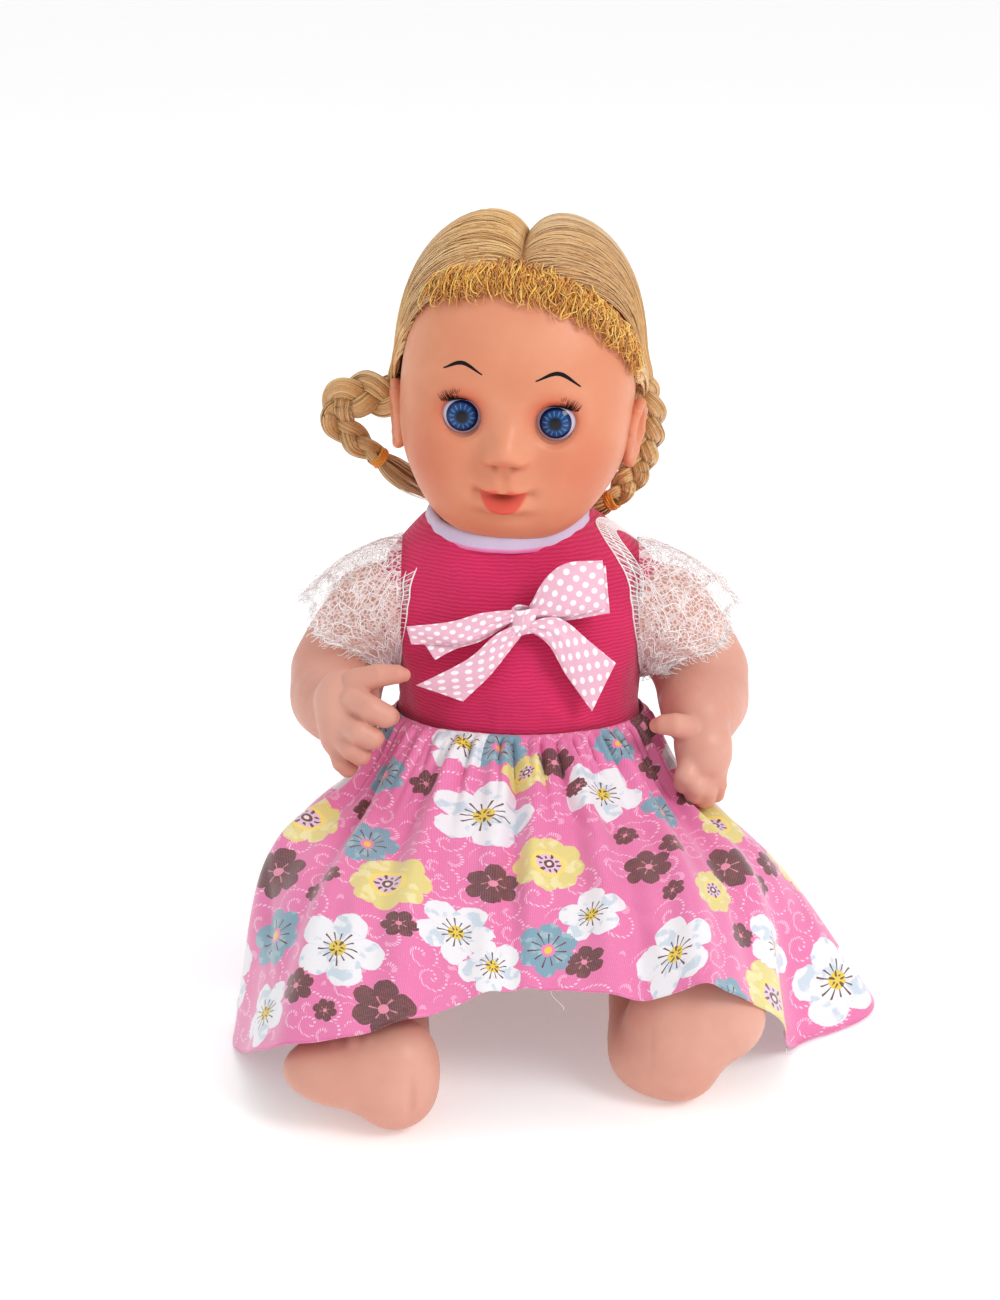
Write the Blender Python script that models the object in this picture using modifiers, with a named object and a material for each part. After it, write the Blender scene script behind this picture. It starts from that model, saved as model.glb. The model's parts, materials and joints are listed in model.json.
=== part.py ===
"""Interactive baby doll, seated: vinyl head, arms and legs on a hard torso with a voice unit, and a dress.

Lengths are millimetres and are turned into metres when a mesh is made. +Z is up and the doll faces -Y.
The origin is the middle of the flat seat under the torso. "right" is the doll's own right side, at -X.
"""

import math

import bmesh
import bpy
from mathutils import Matrix, Vector

MM = 0.001
GAP = 0.3  # between pieces that touch
SIDES = {"right": -1, "left": 1}

# Torso: height, half width, half depth and middle of depth of each level
TORSO_LEVELS = [
    (0, 26, 24, -2),
    (7, 36, 33, -2),
    (25, 42, 37, -2),
    (50, 42, 36, 0),
    (78, 37.5, 31, 2),
    (100, 43, 28, 5),
    (117, 43, 25, 8),
    (125, 34, 22, 9),
    (129, 23, 18, 10),
]
TORSO_WALL = 2.5
TORSO_SIDES = 24
TORSO_TOP = 129
SHOULDER = (38, 6, 106)  # centre of the shoulder face, left side
SHOULDER_RADIUS = 17
HIP = (24, -8, 24)  # centre of the hip face, left side
HIP_RADIUS = 21.5
LIMB_NECK_RADIUS = 7
LIMB_FLANGE_RADIUS = 9
LIMB_FLANGE = 2

# Head, in its own frame at the neck joint
NECK = (-4, 12, 134)  # the body leans a little to its right
HEAD_ROLL = math.radians(3.2)
HEAD_YAW = math.radians(-5)
SKULL_CENTRE = (0, 6, 46)
SKULL_WIDTH = 38
SKULL_FRONT = 37
SKULL_BACK = 42
SKULL_TOP = 51
SKULL_BOTTOM = 44
SKULL_POWER = 2.3
HEAD_WALL = 2.5
NECK_SOCKET_RADIUS = 16
NECK_HOLE_RADIUS = 13.4
NECK_OUTSIDE_RADIUS = 18.5
NECK_RING_FOOT_RADIUS = 9
NECK_RING_BORE_RADIUS = 6
HAIR_GAP = 0.7
HAIR_THICK = 5
HAIR_BAND_RADIUS = 4.2
HAIR_BAND_WIDTH = 2.4
MOUTH = (0, -33, 17)
MOUTH_RADII = (4, 4, 2)
# Bumps on the head: direction from the skull's centre, height and angular width
HEAD_BUMPS = [
    ((0, -0.58, -0.81), 7, 0.36),
    ((0.55, -0.70, -0.42), 2.5, 0.40),
    ((-0.55, -0.70, -0.42), 2.5, 0.40),
    ((0, -0.96, -0.28), 6, 0.15),
    ((0, -0.85, -0.52), 2.5, 0.18),
]
EAR = (39.5, 3, 35)
EAR_RADII = (3.5, 6.5, 12)

# Sleeping eyes, in the head's frame
EYE = (14.7, -17.5, 46)
EYEBALL_RADIUS = 9.5
EYELID_INNER = 9.8
EYELID_OUTER = 10.2
EYE_SEAT_RADIUS = 10.6
EYE_HOLE_RADIUS = 6.4
EYE_HOLE_OUTER_RADIUS = 9.6
EYELID_EDGE = math.radians(34)
IRIS_RADIUS = 5.2
LASH_REACH = 3.6
LASH_LENGTH = 2
LASH_THICK = 0.3
EYE_WEIGHT = (0, 13, -11)
EYE_WEIGHT_RADIUS = 3.4
EYE_WEIGHT_ROOT = (0, 9.2, -6)
EYE_WEIGHT_ARM_RADIUS = 1.2

# Dress
CLOTH_GAP = 0.8
BODICE_THICK = 1.7
WAIST = 76
ARMHOLE_RADIUS = 19
SKIRT_THICK = 1.6

# Electronics
SPEAKER = (0, -15, 97)
SPEAKER_RADIUS = 14.5
GRILLE_RING = 7
GRILLE_HOLE = 1.6
GRILLE_REACH = 16
BUTTON = (0, -35, 54)
BUTTON_RADIUS = 8
BATTERY_RADIUS = 5.25
BATTERY_LENGTH = 44.5
BATTERY_PITCH = 11.5
TRAY = ((-19.5, 8.5, 28), (19.5, 25.5, 83))
WELL = ((-17.6, 10.5, 30), (17.6, 40, 76.5))
DOOR_THICK = 2
TIP_LENGTH = 0.8
SWITCH = (0, 92)  # x and z of the slide switch in the back
SWITCH_TRAVEL = 3

SKIN = (0.86, 0.47, 0.33)
COLOURS = {
    "skin": (SKIN, 0.42, 0),
    "shell": ((0.90, 0.72, 0.62), 0.45, 0),
    "hair": ((0.75, 0.45, 0.16), 0.5, 0),
    "elastic": ((0.80, 0.35, 0.06), 0.6, 0),
    "eye_white": ((0.9, 0.9, 0.9), 0.15, 0),
    "iris": ((0.03, 0.15, 0.45), 0.1, 0),
    "lash": ((0.01, 0.01, 0.01), 0.5, 0),
    "socket": ((0.8, 0.8, 0.78), 0.5, 0),
    "steel": ((0.6, 0.6, 0.6), 0.3, 1),
    "knit": ((0.76, 0.02, 0.13), 0.9, 0),
    "print": ((0.85, 0.15, 0.40), 0.6, 0),
    "satin": ((0.85, 0.55, 0.68), 0.35, 0),
    "lace": ((0.93, 0.90, 0.88), 0.9, 0),
    "board": ((0.03, 0.25, 0.08), 0.5, 0),
    "black": ((0.02, 0.02, 0.02), 0.5, 0),
    "battery": ((0.10, 0.16, 0.30), 0.35, 0.3),
    "button": ((0.85, 0.10, 0.15), 0.4, 0),
    "paper": ((0.05, 0.05, 0.05), 0.85, 0),
}


# --- scene helpers ---------------------------------------------------------

for old in list(bpy.data.objects):
    bpy.data.objects.remove(old)

parts = bpy.data.collections.new("interactive_baby_doll")
cutters = bpy.data.collections.new("cutters")
bpy.context.scene.collection.children.link(parts)
bpy.context.scene.collection.children.link(cutters)


def material(part_name, colour_name):
    """A Principled material of its own for one part."""
    colour, roughness, metallic = COLOURS[colour_name]
    mat = bpy.data.materials.new(part_name)
    mat.use_nodes = True
    shader = mat.node_tree.nodes["Principled BSDF"]
    shader.inputs["Base Color"].default_value = (*colour, 1)
    shader.inputs["Roughness"].default_value = roughness
    shader.inputs["Metallic"].default_value = metallic
    return mat


def add_object(name, bm, colour=None, frame=None):
    """Turns a bmesh in millimetres into an object: a part where a colour is given, or else a cutter."""
    bmesh.ops.scale(bm, vec=(MM, MM, MM), verts=bm.verts)
    bmesh.ops.recalc_face_normals(bm, faces=bm.faces)
    mesh = bpy.data.meshes.new(name)
    bm.to_mesh(mesh)
    bm.free()
    obj = bpy.data.objects.new(name, mesh)
    obj.parent = frame
    if colour:
        parts.objects.link(obj)
        mesh.materials.append(material(name, colour))
        mesh.shade_smooth()
        mesh.set_sharp_from_angle(angle=math.radians(35))
    else:
        cutters.objects.link(obj)
        obj.hide_render = True
        obj.display_type = "WIRE"
    return obj


def add_frame(name, place, rotation=(0, 0, 0), frame=None):
    """An empty on a joint's axis, which the pieces of one body hang on."""
    empty = bpy.data.objects.new(name, None)
    empty.location = Vector(place) * MM
    empty.rotation_euler = rotation
    empty.parent = frame
    parts.objects.link(empty)
    return empty


def boolean(obj, cutter, operation="DIFFERENCE"):
    mod = obj.modifiers.new(cutter.name, "BOOLEAN")
    mod.operation = operation
    mod.object = cutter


def solidify(obj, thickness):
    """Thickens an open surface outwards."""
    mod = obj.modifiers.new("thickness", "SOLIDIFY")
    mod.thickness = thickness * MM
    mod.offset = 1


def soften(obj, voxel, keep):
    """Melts overlapping forms into one skin, then thins its faces."""
    mod = obj.modifiers.new("melt", "REMESH")
    mod.mode = "VOXEL"
    mod.voxel_size = voxel * MM
    mod = obj.modifiers.new("smooth", "SMOOTH")
    mod.iterations = 4
    mod = obj.modifiers.new("thin", "DECIMATE")
    mod.ratio = keep


# --- basic forms, in millimetres ------------------------------------------


def box_form(low, high):
    bm = bmesh.new()
    middle = (Vector(low) + Vector(high)) / 2
    size = Vector(high) - Vector(low)
    bmesh.ops.create_cube(bm, size=1, matrix=Matrix.LocRotScale(middle, None, size))
    return bm


def rod_form(start, end, radius, end_radius=None, sides=20):
    bm = bmesh.new()
    run = Vector(end) - Vector(start)
    turn = Vector((0, 0, 1)).rotation_difference(run)
    place = Matrix.LocRotScale((Vector(start) + Vector(end)) / 2, turn, None)
    bmesh.ops.create_cone(
        bm,
        cap_ends=True,
        segments=sides,
        radius1=radius,
        radius2=radius if end_radius is None else end_radius,
        depth=run.length,
        matrix=place,
    )
    return bm


def ball_form(centre, radii, across=16, up=10):
    bm = bmesh.new()
    place = Matrix.LocRotScale(Vector(centre), None, Vector(radii))
    bmesh.ops.create_uvsphere(bm, u_segments=across, v_segments=up, radius=1, matrix=place)
    return bm


def merged(forms):
    """One bmesh that holds several forms."""
    whole = bmesh.new()
    for form in forms:
        mesh = bpy.data.meshes.new("piece")
        form.to_mesh(mesh)
        form.free()
        whole.from_mesh(mesh)
        bpy.data.meshes.remove(mesh)
    return whole


def bead_forms(stations, step=4):
    """Balls along a line of stations (x, y, z, radius), close enough to melt together."""
    beads = []
    for here, there in zip(stations, stations[1:]):
        run = (Vector(there[:3]) - Vector(here[:3])).length
        count = max(1, round(run / step))
        for i in range(count):
            share = i / count
            x, y, z, r = (a + (b - a) * share for a, b in zip(here, there))
            beads.append(ball_form((x, y, z), (r, r, r), 12, 8))
    x, y, z, r = stations[-1]
    beads.append(ball_form((x, y, z), (r, r, r), 12, 8))
    return beads


def between(levels, height):
    """The sizes at a height, read smoothly from a list of levels."""
    for low, high in zip(levels, levels[1:]):
        if height <= high[0]:
            break
    share = min(max((height - low[0]) / (high[0] - low[0]), 0), 1)
    return [a + (b - a) * share for a, b in zip(low[1:], high[1:])]


def torso_point(height, angle, grow=0):
    half_width, half_depth, middle = between(TORSO_LEVELS, height)
    x = (half_width + grow) * math.cos(angle)
    y = middle + (half_depth + grow) * math.sin(angle)
    return Vector((x, y, height))


def torso_skin(x, height, way=1, grow=0):
    """Where the torso's skin is at a place, on the back or, with way=-1, on the front."""
    half_width, half_depth, middle = between(TORSO_LEVELS, height)
    return middle + way * (half_depth + grow) * math.sqrt(1 - (x / (half_width + grow)) ** 2)


def ring_stack(rings, closed):
    """A skin over rings of points, with caps where it is closed."""
    bm = bmesh.new()
    rows = [[bm.verts.new(point) for point in ring] for ring in rings]
    for low, high in zip(rows, rows[1:]):
        for i in range(len(low)):
            j = (i + 1) % len(low)
            bm.faces.new((low[i], low[j], high[j], high[i]))
    if closed:
        bm.faces.new(reversed(rows[0]))
        bm.faces.new(rows[-1])
    return bm


def torso_form(grow, heights, sides=TORSO_SIDES, closed=True):
    """The torso's form, larger or smaller all round by one amount."""
    turn = 2 * math.pi / sides
    rings = [[torso_point(z, (i + 0.5) * turn, grow) for i in range(sides)] for z in heights]
    return ring_stack(rings, closed)


def skull_radius(direction, grow, bumps):
    """Distance from the skull's centre to its skin."""
    x, y, z = direction
    depth = SKULL_FRONT if y < 0 else SKULL_BACK
    height = SKULL_TOP if z > 0 else SKULL_BOTTOM
    power = SKULL_POWER
    total = abs(x / SKULL_WIDTH) ** power + abs(y / depth) ** power + abs(z / height) ** power
    radius = total ** (-1 / power)
    if bumps:
        for aim, rise, width in HEAD_BUMPS:
            away = direction.angle(Vector(aim))
            radius += rise * math.exp(-((away / width) ** 2))
    return radius + grow


def skull_form(grow, bumps, across=24, up=16):
    bm = bmesh.new()
    bmesh.ops.create_uvsphere(bm, u_segments=across, v_segments=up, radius=1)
    for vert in bm.verts:
        direction = vert.co.normalized()
        vert.co = Vector(SKULL_CENTRE) + direction * skull_radius(direction, grow, bumps)
    return bm


def keep_behind(bm, point, normal):
    """Cuts a form with a plane and keeps the side that the normal points away from."""
    geometry = bm.verts[:] + bm.edges[:] + bm.faces[:]
    bmesh.ops.bisect_plane(bm, geom=geometry, plane_co=point, plane_no=normal, clear_outer=True)


def flat_piece(name, outline, front, thickness, colour):
    """A flat piece facing -Y: a filled 2D curve with an extrude, made a mesh."""
    curve = bpy.data.curves.new(name, "CURVE")
    curve.dimensions = "2D"
    curve.fill_mode = "BOTH"
    curve.extrude = thickness * MM / 2
    spline = curve.splines.new("POLY")
    spline.points.add(len(outline) - 1)
    for point, (x, z) in zip(spline.points, outline):
        point.co = (x * MM, z * MM, 0, 1)
    spline.use_cyclic_u = True
    guide = bpy.data.objects.new(name + "_outline", curve)
    cutters.objects.link(guide)
    graph = bpy.context.evaluated_depsgraph_get()
    mesh = bpy.data.meshes.new_from_object(guide.evaluated_get(graph))
    bpy.data.objects.remove(guide)
    bm = bmesh.new()
    bm.from_mesh(mesh)
    bpy.data.meshes.remove(mesh)
    bmesh.ops.remove_doubles(bm, verts=bm.verts, dist=1e-6)
    bmesh.ops.recalc_face_normals(bm, faces=bm.faces)
    stand = Matrix.Translation((0, front * MM, 0)) @ Matrix.Rotation(math.radians(90), 4, "X")
    bmesh.ops.transform(bm, matrix=stand, verts=bm.verts)
    bmesh.ops.scale(bm, vec=(1 / MM, 1 / MM, 1 / MM), verts=bm.verts)
    return add_object(name, bm, colour)


# --- torso shells ----------------------------------------------------------

TORSO_HEIGHTS = [level[0] for level in TORSO_LEVELS]
CAVITY_HEIGHTS = [TORSO_WALL, 7, 25, 50, 78, 100, 117, 122, TORSO_TOP - TORSO_WALL]
POST_RADIUS = 3.2
SCREWS = [(-14, 113), (14, 113), (-9, 17), (9, 17)]  # x and z
SCREW_SHANK = 1.2
SCREW_HEAD = 2.3
SCREW_HEAD_TOP = 1.7
SCREW_HEAD_HEIGHT = 1.5
SCREW_LENGTH = 10
SEAT_DEPTH = 1.6
SCREW_DEPTH = 14  # how far the screw holes go in from the back
CUT_END = 60  # where the screw cutters end, clear behind the back
SLOT_REACH = 1.3
SLOT_FLOOR = 0.9
SLOT_HALF_WIDTH = 0.3
POST_GAP = 1.6


def hip_pocket(side, grow):
    """The room that a thigh takes from seated to straight down."""
    x, y, z = HIP
    reach = HIP_RADIUS - grow
    inner = side * (x - GAP + grow)
    outer = side * 60
    low, high = min(inner, outer), max(inner, outer)
    return [
        rod_form((inner, y, z), (outer, y, z), reach, sides=22),
        box_form((low + 0.05, -60, -5), (high, y, z + reach * 0.98)),
        box_form((low + 0.05, -60, -5), (high, y + reach * 0.98, z)),
    ]


def torso_half(name, front, cavity):
    """One shell of the torso, cut at the plane through the shoulder and hip centres."""
    shell = add_object(name, torso_form(0, TORSO_HEIGHTS), "shell")
    for side_name, side in SIDES.items():
        for i, form in enumerate(hip_pocket(side, 0)):
            boolean(shell, add_object(f"{name}_{side_name}_hip_{i}", form))
        shoulder = SHOULDER[0] * side
        low, high = min(shoulder, side * 60), max(shoulder, side * 60)
        boolean(shell, add_object(f"{name}_{side_name}_side", box_form((low, -60, 70), (high, 60, 140))))
    boolean(shell, cavity)
    lean = math.atan2(SHOULDER[1] - HIP[1], SHOULDER[2] - HIP[2])
    deep = -80 if front else 80
    edge = GAP / 2 * (-1 if front else 1)
    low, high = (deep, edge) if front else (edge, deep)
    half = add_object(name + "_half", box_form((-80, low, -60), (80, high, 140)))
    half.location = Vector((0, HIP[1], HIP[2])) * MM
    half.rotation_euler = (-lean, 0, 0)
    boolean(shell, half, "INTERSECT")
    return shell


def make_cavity():
    """The hollow inside the torso, which leaves a wall round the hip pockets."""
    hollow = add_object("cavity", torso_form(-TORSO_WALL, CAVITY_HEIGHTS))
    for side_name, side in SIDES.items():
        for i, form in enumerate(hip_pocket(side, -TORSO_WALL)):
            boolean(hollow, add_object(f"cavity_{side_name}_hip_{i}", form))
        inner = side * (SHOULDER[0] - TORSO_WALL)
        low, high = min(inner, side * 60), max(inner, side * 60)
        boolean(hollow, add_object(f"cavity_{side_name}_side", box_form((low, -60, 70), (high, 60, 140))))
    return hollow


def make_torso():
    cavity = make_cavity()
    front = torso_half("torso_front_shell", True, cavity)
    back = torso_half("torso_back_shell", False, cavity)
    for x, z in SCREWS:
        post_end = torso_skin(x, z, 1, -TORSO_WALL) - POST_GAP
        post_root = torso_skin(x, z, -1) + TORSO_WALL / 2
        post = rod_form((x, post_end, z), (x, post_root, z), POST_RADIUS, sides=12)
        boolean(front, add_object(f"post_{x}_{z}", post), "UNION")
    holes = []
    seats = []
    for x, z in SCREWS:
        skin = torso_skin(x, z)
        holes.append(rod_form((x, skin - SCREW_DEPTH, z), (x, CUT_END, z), SCREW_SHANK + GAP, sides=12))
        seats.append(rod_form((x, skin - SEAT_DEPTH, z), (x, CUT_END, z), SCREW_HEAD + GAP, sides=12))
    screw_holes = add_object("screw_holes", merged(holes))
    boolean(front, screw_holes)
    boolean(back, screw_holes)
    boolean(back, add_object("screw_seats", merged(seats)))
    for side in SIDES.values():
        arm_hole = limb_hole(SHOULDER, side)
        leg_hole = limb_hole(HIP, side)
        for shell in (front, back):
            boolean(shell, arm_hole)
            boolean(shell, leg_hole)
    boolean(front, add_object("grille", grille_form()))
    x, y, z = BUTTON
    boolean(front, add_object("button_hole", rod_form((x, y - 9, z), (x, y + 8, z), BUTTON_RADIUS + 0.4)))
    (x0, y0, z0), (x1, _, z1) = TRAY
    tray_hole = box_form((x0 - GAP, y0 - 4, z0 - GAP), (x1 + GAP, 60, z1 + GAP))
    boolean(back, add_object("tray_hole", tray_hole))
    x, z = SWITCH
    slot = box_form((x - 5, 20, z - 2), (x + 5, 60, z + 2))
    boolean(back, add_object("switch_slot", slot))
    x, y, _ = NECK
    ring_hole = rod_form((x, y, TORSO_TOP - 8), (x, y, TORSO_TOP + 5), NECK_RING_FOOT_RADIUS + GAP)
    hole = add_object("neck_ring_hole", ring_hole)
    boolean(front, hole)
    boolean(back, hole)


def limb_hole(centre, side):
    x, y, z = centre
    start = (side * (x - TORSO_WALL - 4), y, z)
    end = (side * (x + 1), y, z)
    return add_object(f"limb_hole_{z}_{side}", rod_form(start, end, LIMB_NECK_RADIUS + GAP))


def grille_form():
    """A round of sound holes in the chest."""
    x, y, z = SPEAKER
    holes = [rod_form((x, y - GRILLE_REACH, z), (x, y + 1, z), GRILLE_HOLE, sides=10)]
    for i in range(6):
        angle = i * math.pi / 3
        u = x + GRILLE_RING * math.cos(angle)
        v = z + GRILLE_RING * math.sin(angle)
        holes.append(rod_form((u, y - GRILLE_REACH, v), (u, y + 1, v), GRILLE_HOLE, sides=10))
    return merged(holes)


def make_screws():
    for i, (x, z) in enumerate(SCREWS, 1):
        seat = torso_skin(x, z) - SEAT_DEPTH + GAP
        add_screw(f"torso_screw_{i}", x, seat, z)


def add_screw(name, x, y, z):
    """A pan head screw driven in towards -Y."""
    pan = rod_form((x, y, z), (x, y + SCREW_HEAD_HEIGHT, z), SCREW_HEAD, SCREW_HEAD_TOP, sides=12)
    head = add_object(name, pan, "steel")
    shank = rod_form((x, y + 0.5, z), (x, y - SCREW_LENGTH, z), SCREW_SHANK, 0.8, sides=10)
    boolean(head, add_object(name + "_shank", shank), "UNION")
    low = (x - SLOT_REACH, y + SLOT_FLOOR, z - SLOT_HALF_WIDTH)
    high = (x + SLOT_REACH, y + 2 * SCREW_HEAD_HEIGHT, z + SLOT_HALF_WIDTH)
    slot = box_form(low, high)
    boolean(head, add_object(name + "_slot", slot))


# --- voice unit -------------------------------------------------------------


def make_voice_unit():
    x, y, z = SPEAKER
    radius = SPEAKER_RADIUS
    basket = add_object("speaker_frame", rod_form((x, y, z), (x, y + 6, z), radius, 10), "steel")
    boolean(basket, add_object("speaker_hollow", rod_form((x, y - 1, z), (x, y + 5, z), radius - 0.8, 8.6)))
    boolean(basket, add_object("speaker_throat", rod_form((x, y - 1, z), (x, y + 9, z), 4)))
    cone = add_object("speaker_cone", rod_form((x, y + 0.2, z), (x, y + 4, z), radius - 2.6, 3.6), "paper")
    boolean(cone, add_object("cone_dish", rod_form((x, y - 0.5, z), (x, y + 3, z), radius - 2.6, 2.2)))
    add_object("speaker_magnet", rod_form((x, y + 6 + GAP, z), (x, y + 12, z), 8), "steel")
    board_y = BUTTON[1] + 15
    board = box_form((-19, board_y, 42), (19, board_y + 1.6, 72))
    add_object("circuit_board", board, "board")
    chip = rod_form((9, board_y + 1.6 + GAP, 64), (9, board_y + 4, 64), 5, 4.4, sides=16)
    add_object("sound_chip", chip, "black")
    z = BUTTON[2]
    touch = box_form((-3, board_y - GAP - 3.6, z - 3), (3, board_y - GAP, z + 3))
    add_object("tact_switch", touch, "black")


def make_button():
    x, y, z = BUTTON
    frame = add_frame("button_frame", BUTTON)
    cap_form = rod_form((0, -1.8, 0), (0, 6, 0), BUTTON_RADIUS - 0.8, BUTTON_RADIUS)
    cap = add_object("tummy_button", cap_form, "button", frame)
    disc = rod_form((0, 5.6, 0), (0, 6.8, 0), BUTTON_RADIUS + 1.4)
    flange = add_object("button_flange", disc, frame=frame)
    boolean(cap, flange, "UNION")
    stem = add_object("button_stem", rod_form((0, 5, 0), (0, 9.4, 0), 2.2, sides=12), frame=frame)
    boolean(cap, stem, "UNION")


def make_battery_box():
    tray = add_object("battery_tray", box_form(*TRAY), "socket")
    boolean(tray, add_object("tray_well", box_form(*WELL)))
    (x0, y0, z0), (x1, y1, z1) = TRAY
    screw_z = z1 - 4
    pilot = rod_form((0, y1 - 11, screw_z), (0, y1 + 1, screw_z), SCREW_SHANK + GAP, sides=12)
    boolean(tray, add_object("tray_pilot", pilot))
    middle = (WELL[0][2] + WELL[1][2]) / 2
    y = WELL[0][1] + BATTERY_RADIUS + 1
    for i in range(3):
        x = (i - 1) * BATTERY_PITCH
        half = BATTERY_LENGTH / 2 - TIP_LENGTH
        cell_form = rod_form((x, y, middle - half), (x, y, middle + half), BATTERY_RADIUS, sides=16)
        cell = add_object(f"battery_{i + 1}", cell_form, "battery")
        way = -1 if i % 2 else 1
        tip = rod_form((x, y, middle), (x, y, middle + way * (half + TIP_LENGTH)), 1.9, sides=10)
        boolean(cell, add_object(f"battery_tip_{i + 1}", tip), "UNION")
    for end_name, end in {"lower": -1, "upper": 1}.items():
        inner = middle + end * (BATTERY_LENGTH / 2 + 0.1)
        outer = middle + end * ((WELL[1][2] - WELL[0][2]) / 2 - 0.2)
        low, high = sorted((inner, outer))
        plate = box_form((WELL[0][0] + 1, WELL[0][1] + 1, low), (WELL[1][0] - 1, WELL[0][1] + 11, high))
        add_object(f"battery_contacts_{end_name}", plate, "steel")
    door = add_object("battery_door", box_form((x0, y1 + GAP, z0), (x1, y1 + DOOR_THICK, z1)), "shell")
    hole = rod_form((0, y1 - 1, screw_z), (0, y1 + 4, screw_z), SCREW_SHANK + GAP, sides=12)
    boolean(door, add_object("door_hole", hole))
    add_screw("battery_door_screw", 0, y1 + DOOR_THICK + GAP, screw_z)


def make_power_switch():
    x, z = SWITCH
    back = torso_skin(x, z)
    body = box_form((x - 6, back - 9, z - 3.5), (x + 6, back - TORSO_WALL - 1, z + 3.5))
    add_object("power_switch_body", body, "black")
    frame = add_frame("switch_frame", (x - SWITCH_TRAVEL / 2, back - TORSO_WALL, z))
    knob = box_form((-1.6, -0.7, -1.6), (1.6, 2.2, 1.6))
    add_object("power_switch_knob", knob, "black", frame)


def make_neck_ring():
    """The ring that the head's neck snaps over."""
    x, y, _ = NECK

    def rod(low, high, radius, top_radius=None):
        return rod_form((x, y, TORSO_TOP + low), (x, y, TORSO_TOP + high), radius, top_radius, sides=18)

    ring = add_object("neck_ring", rod(GAP, 11, NECK_HOLE_RADIUS - 1), "shell")
    flange = rod(9.5, 12, NECK_SOCKET_RADIUS - 1, NECK_HOLE_RADIUS)
    boolean(ring, add_object("neck_ring_flange", flange), "UNION")
    boolean(ring, add_object("neck_ring_foot", rod(-6, 2, NECK_RING_FOOT_RADIUS)), "UNION")
    boolean(ring, add_object("neck_ring_bore", rod(-30, 30, NECK_RING_BORE_RADIUS)))


# --- head -------------------------------------------------------------------


def make_head():
    frame = add_frame("head_frame", NECK, (0, HEAD_ROLL, HEAD_YAW))
    head = add_object("head_shell", skull_form(0, True), "skin", frame)
    for side_name, side in SIDES.items():
        ear = ball_form((side * EAR[0], EAR[1], EAR[2]), EAR_RADII)
        boolean(head, add_object(f"{side_name}_ear", ear, frame=frame), "UNION")
    x, y, z = NECK
    outside = rod_form((x, y, z - 0.5), (x, y, z + 14), NECK_OUTSIDE_RADIUS, sides=28)
    boolean(head, add_object("neck_outside", outside), "UNION")
    boolean(head, add_object("skull_hollow", skull_form(-HEAD_WALL, False, 18, 12), frame=frame))
    socket = rod_form((x, y, z + 3), (x, y, z + 22), NECK_SOCKET_RADIUS, sides=24)
    boolean(head, add_object("neck_socket", socket))
    hole = rod_form((x, y, z - 2), (x, y, z + 5), NECK_HOLE_RADIUS, sides=24)
    boolean(head, add_object("neck_hole", hole))
    mouth = ball_form(MOUTH, MOUTH_RADII, 12, 8)
    boolean(head, add_object("mouth_recess", mouth, frame=frame))
    for side_name, side in SIDES.items():
        x, y, z = side * EYE[0], EYE[1], EYE[2]
        seat = ball_form((x, y, z), (EYE_SEAT_RADIUS,) * 3, 16, 12)
        boolean(head, add_object(f"{side_name}_eye_seat", seat, frame=frame))
        outer = EYE_HOLE_OUTER_RADIUS + 4
        opening = rod_form((x, y - 16, z), (x, y - 7, z), outer, EYE_HOLE_RADIUS, sides=24)
        boolean(head, add_object(f"{side_name}_eye_hole", opening, frame=frame))
        ring = rod_form((x, y + 5, z), (x, y + 8, z), 11.5, sides=24)
        socket = add_object(f"{side_name}_eye_socket", ring, "socket", frame)
        bore = rod_form((x, y + 3, z), (x, y + 10, z), 9.6, sides=24)
        boolean(socket, add_object(f"{side_name}_socket_bore", bore, frame=frame))
        make_eye(side_name, add_frame(f"{side_name}_eye_frame", (x, y, z), frame=frame))
    make_hair(frame)


def make_eye(side_name, frame):
    """A ball with iris, lid, lashes and the weight that swings it open and shut."""
    ball = ball_form((0, 0, 0), (EYEBALL_RADIUS,) * 3, 16, 10)
    add_object(f"{side_name}_eyeball", ball, "eye_white", frame)
    outer = ball_form((0, 0, 0), (EYELID_OUTER,) * 3, 14, 10)
    lid = add_object(f"{side_name}_eyelid", outer, "skin", frame)
    inner = ball_form((0, 0, 0), (EYELID_INNER,) * 3, 14, 10)
    inside = add_object(f"{side_name}_lid_inside", inner, frame=frame)
    boolean(lid, inside)
    wedge = add_object(f"{side_name}_lid_wedge", box_form((-20, 0, 0), (20, 20, 20)), frame=frame)
    wedge.rotation_euler = (math.radians(90) - EYELID_EDGE, 0, 0)
    boolean(lid, wedge, "INTERSECT")
    iris = add_object(f"{side_name}_iris", ball_form((0, 0, 0), (EYELID_OUTER,) * 3, 14, 10), "iris", frame)
    boolean(iris, inside)
    disc = add_object(f"{side_name}_iris_disc", rod_form((0, -20, 0), (0, 0, 0), IRIS_RADIUS), frame=frame)
    boolean(iris, disc, "INTERSECT")
    edge = EYELID_EDGE - math.radians(1)
    root_y, root_z = -EYELID_OUTER * math.cos(edge), EYELID_OUTER * math.sin(edge)
    lash = box_form(
        (-LASH_REACH, root_y - LASH_LENGTH, root_z - LASH_THICK / 2),
        (LASH_REACH, root_y - GAP / 2, root_z + LASH_THICK / 2),
    )
    add_object(f"{side_name}_eyelash", lash, "lash", frame)
    bob = ball_form(EYE_WEIGHT, (EYE_WEIGHT_RADIUS,) * 3, 10, 6)
    weight = add_object(f"{side_name}_eye_weight", bob, "steel", frame)
    arm = rod_form(EYE_WEIGHT_ROOT, EYE_WEIGHT, EYE_WEIGHT_ARM_RADIUS, sides=10)
    boolean(weight, add_object(f"{side_name}_weight_arm", arm, frame=frame), "UNION")


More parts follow.
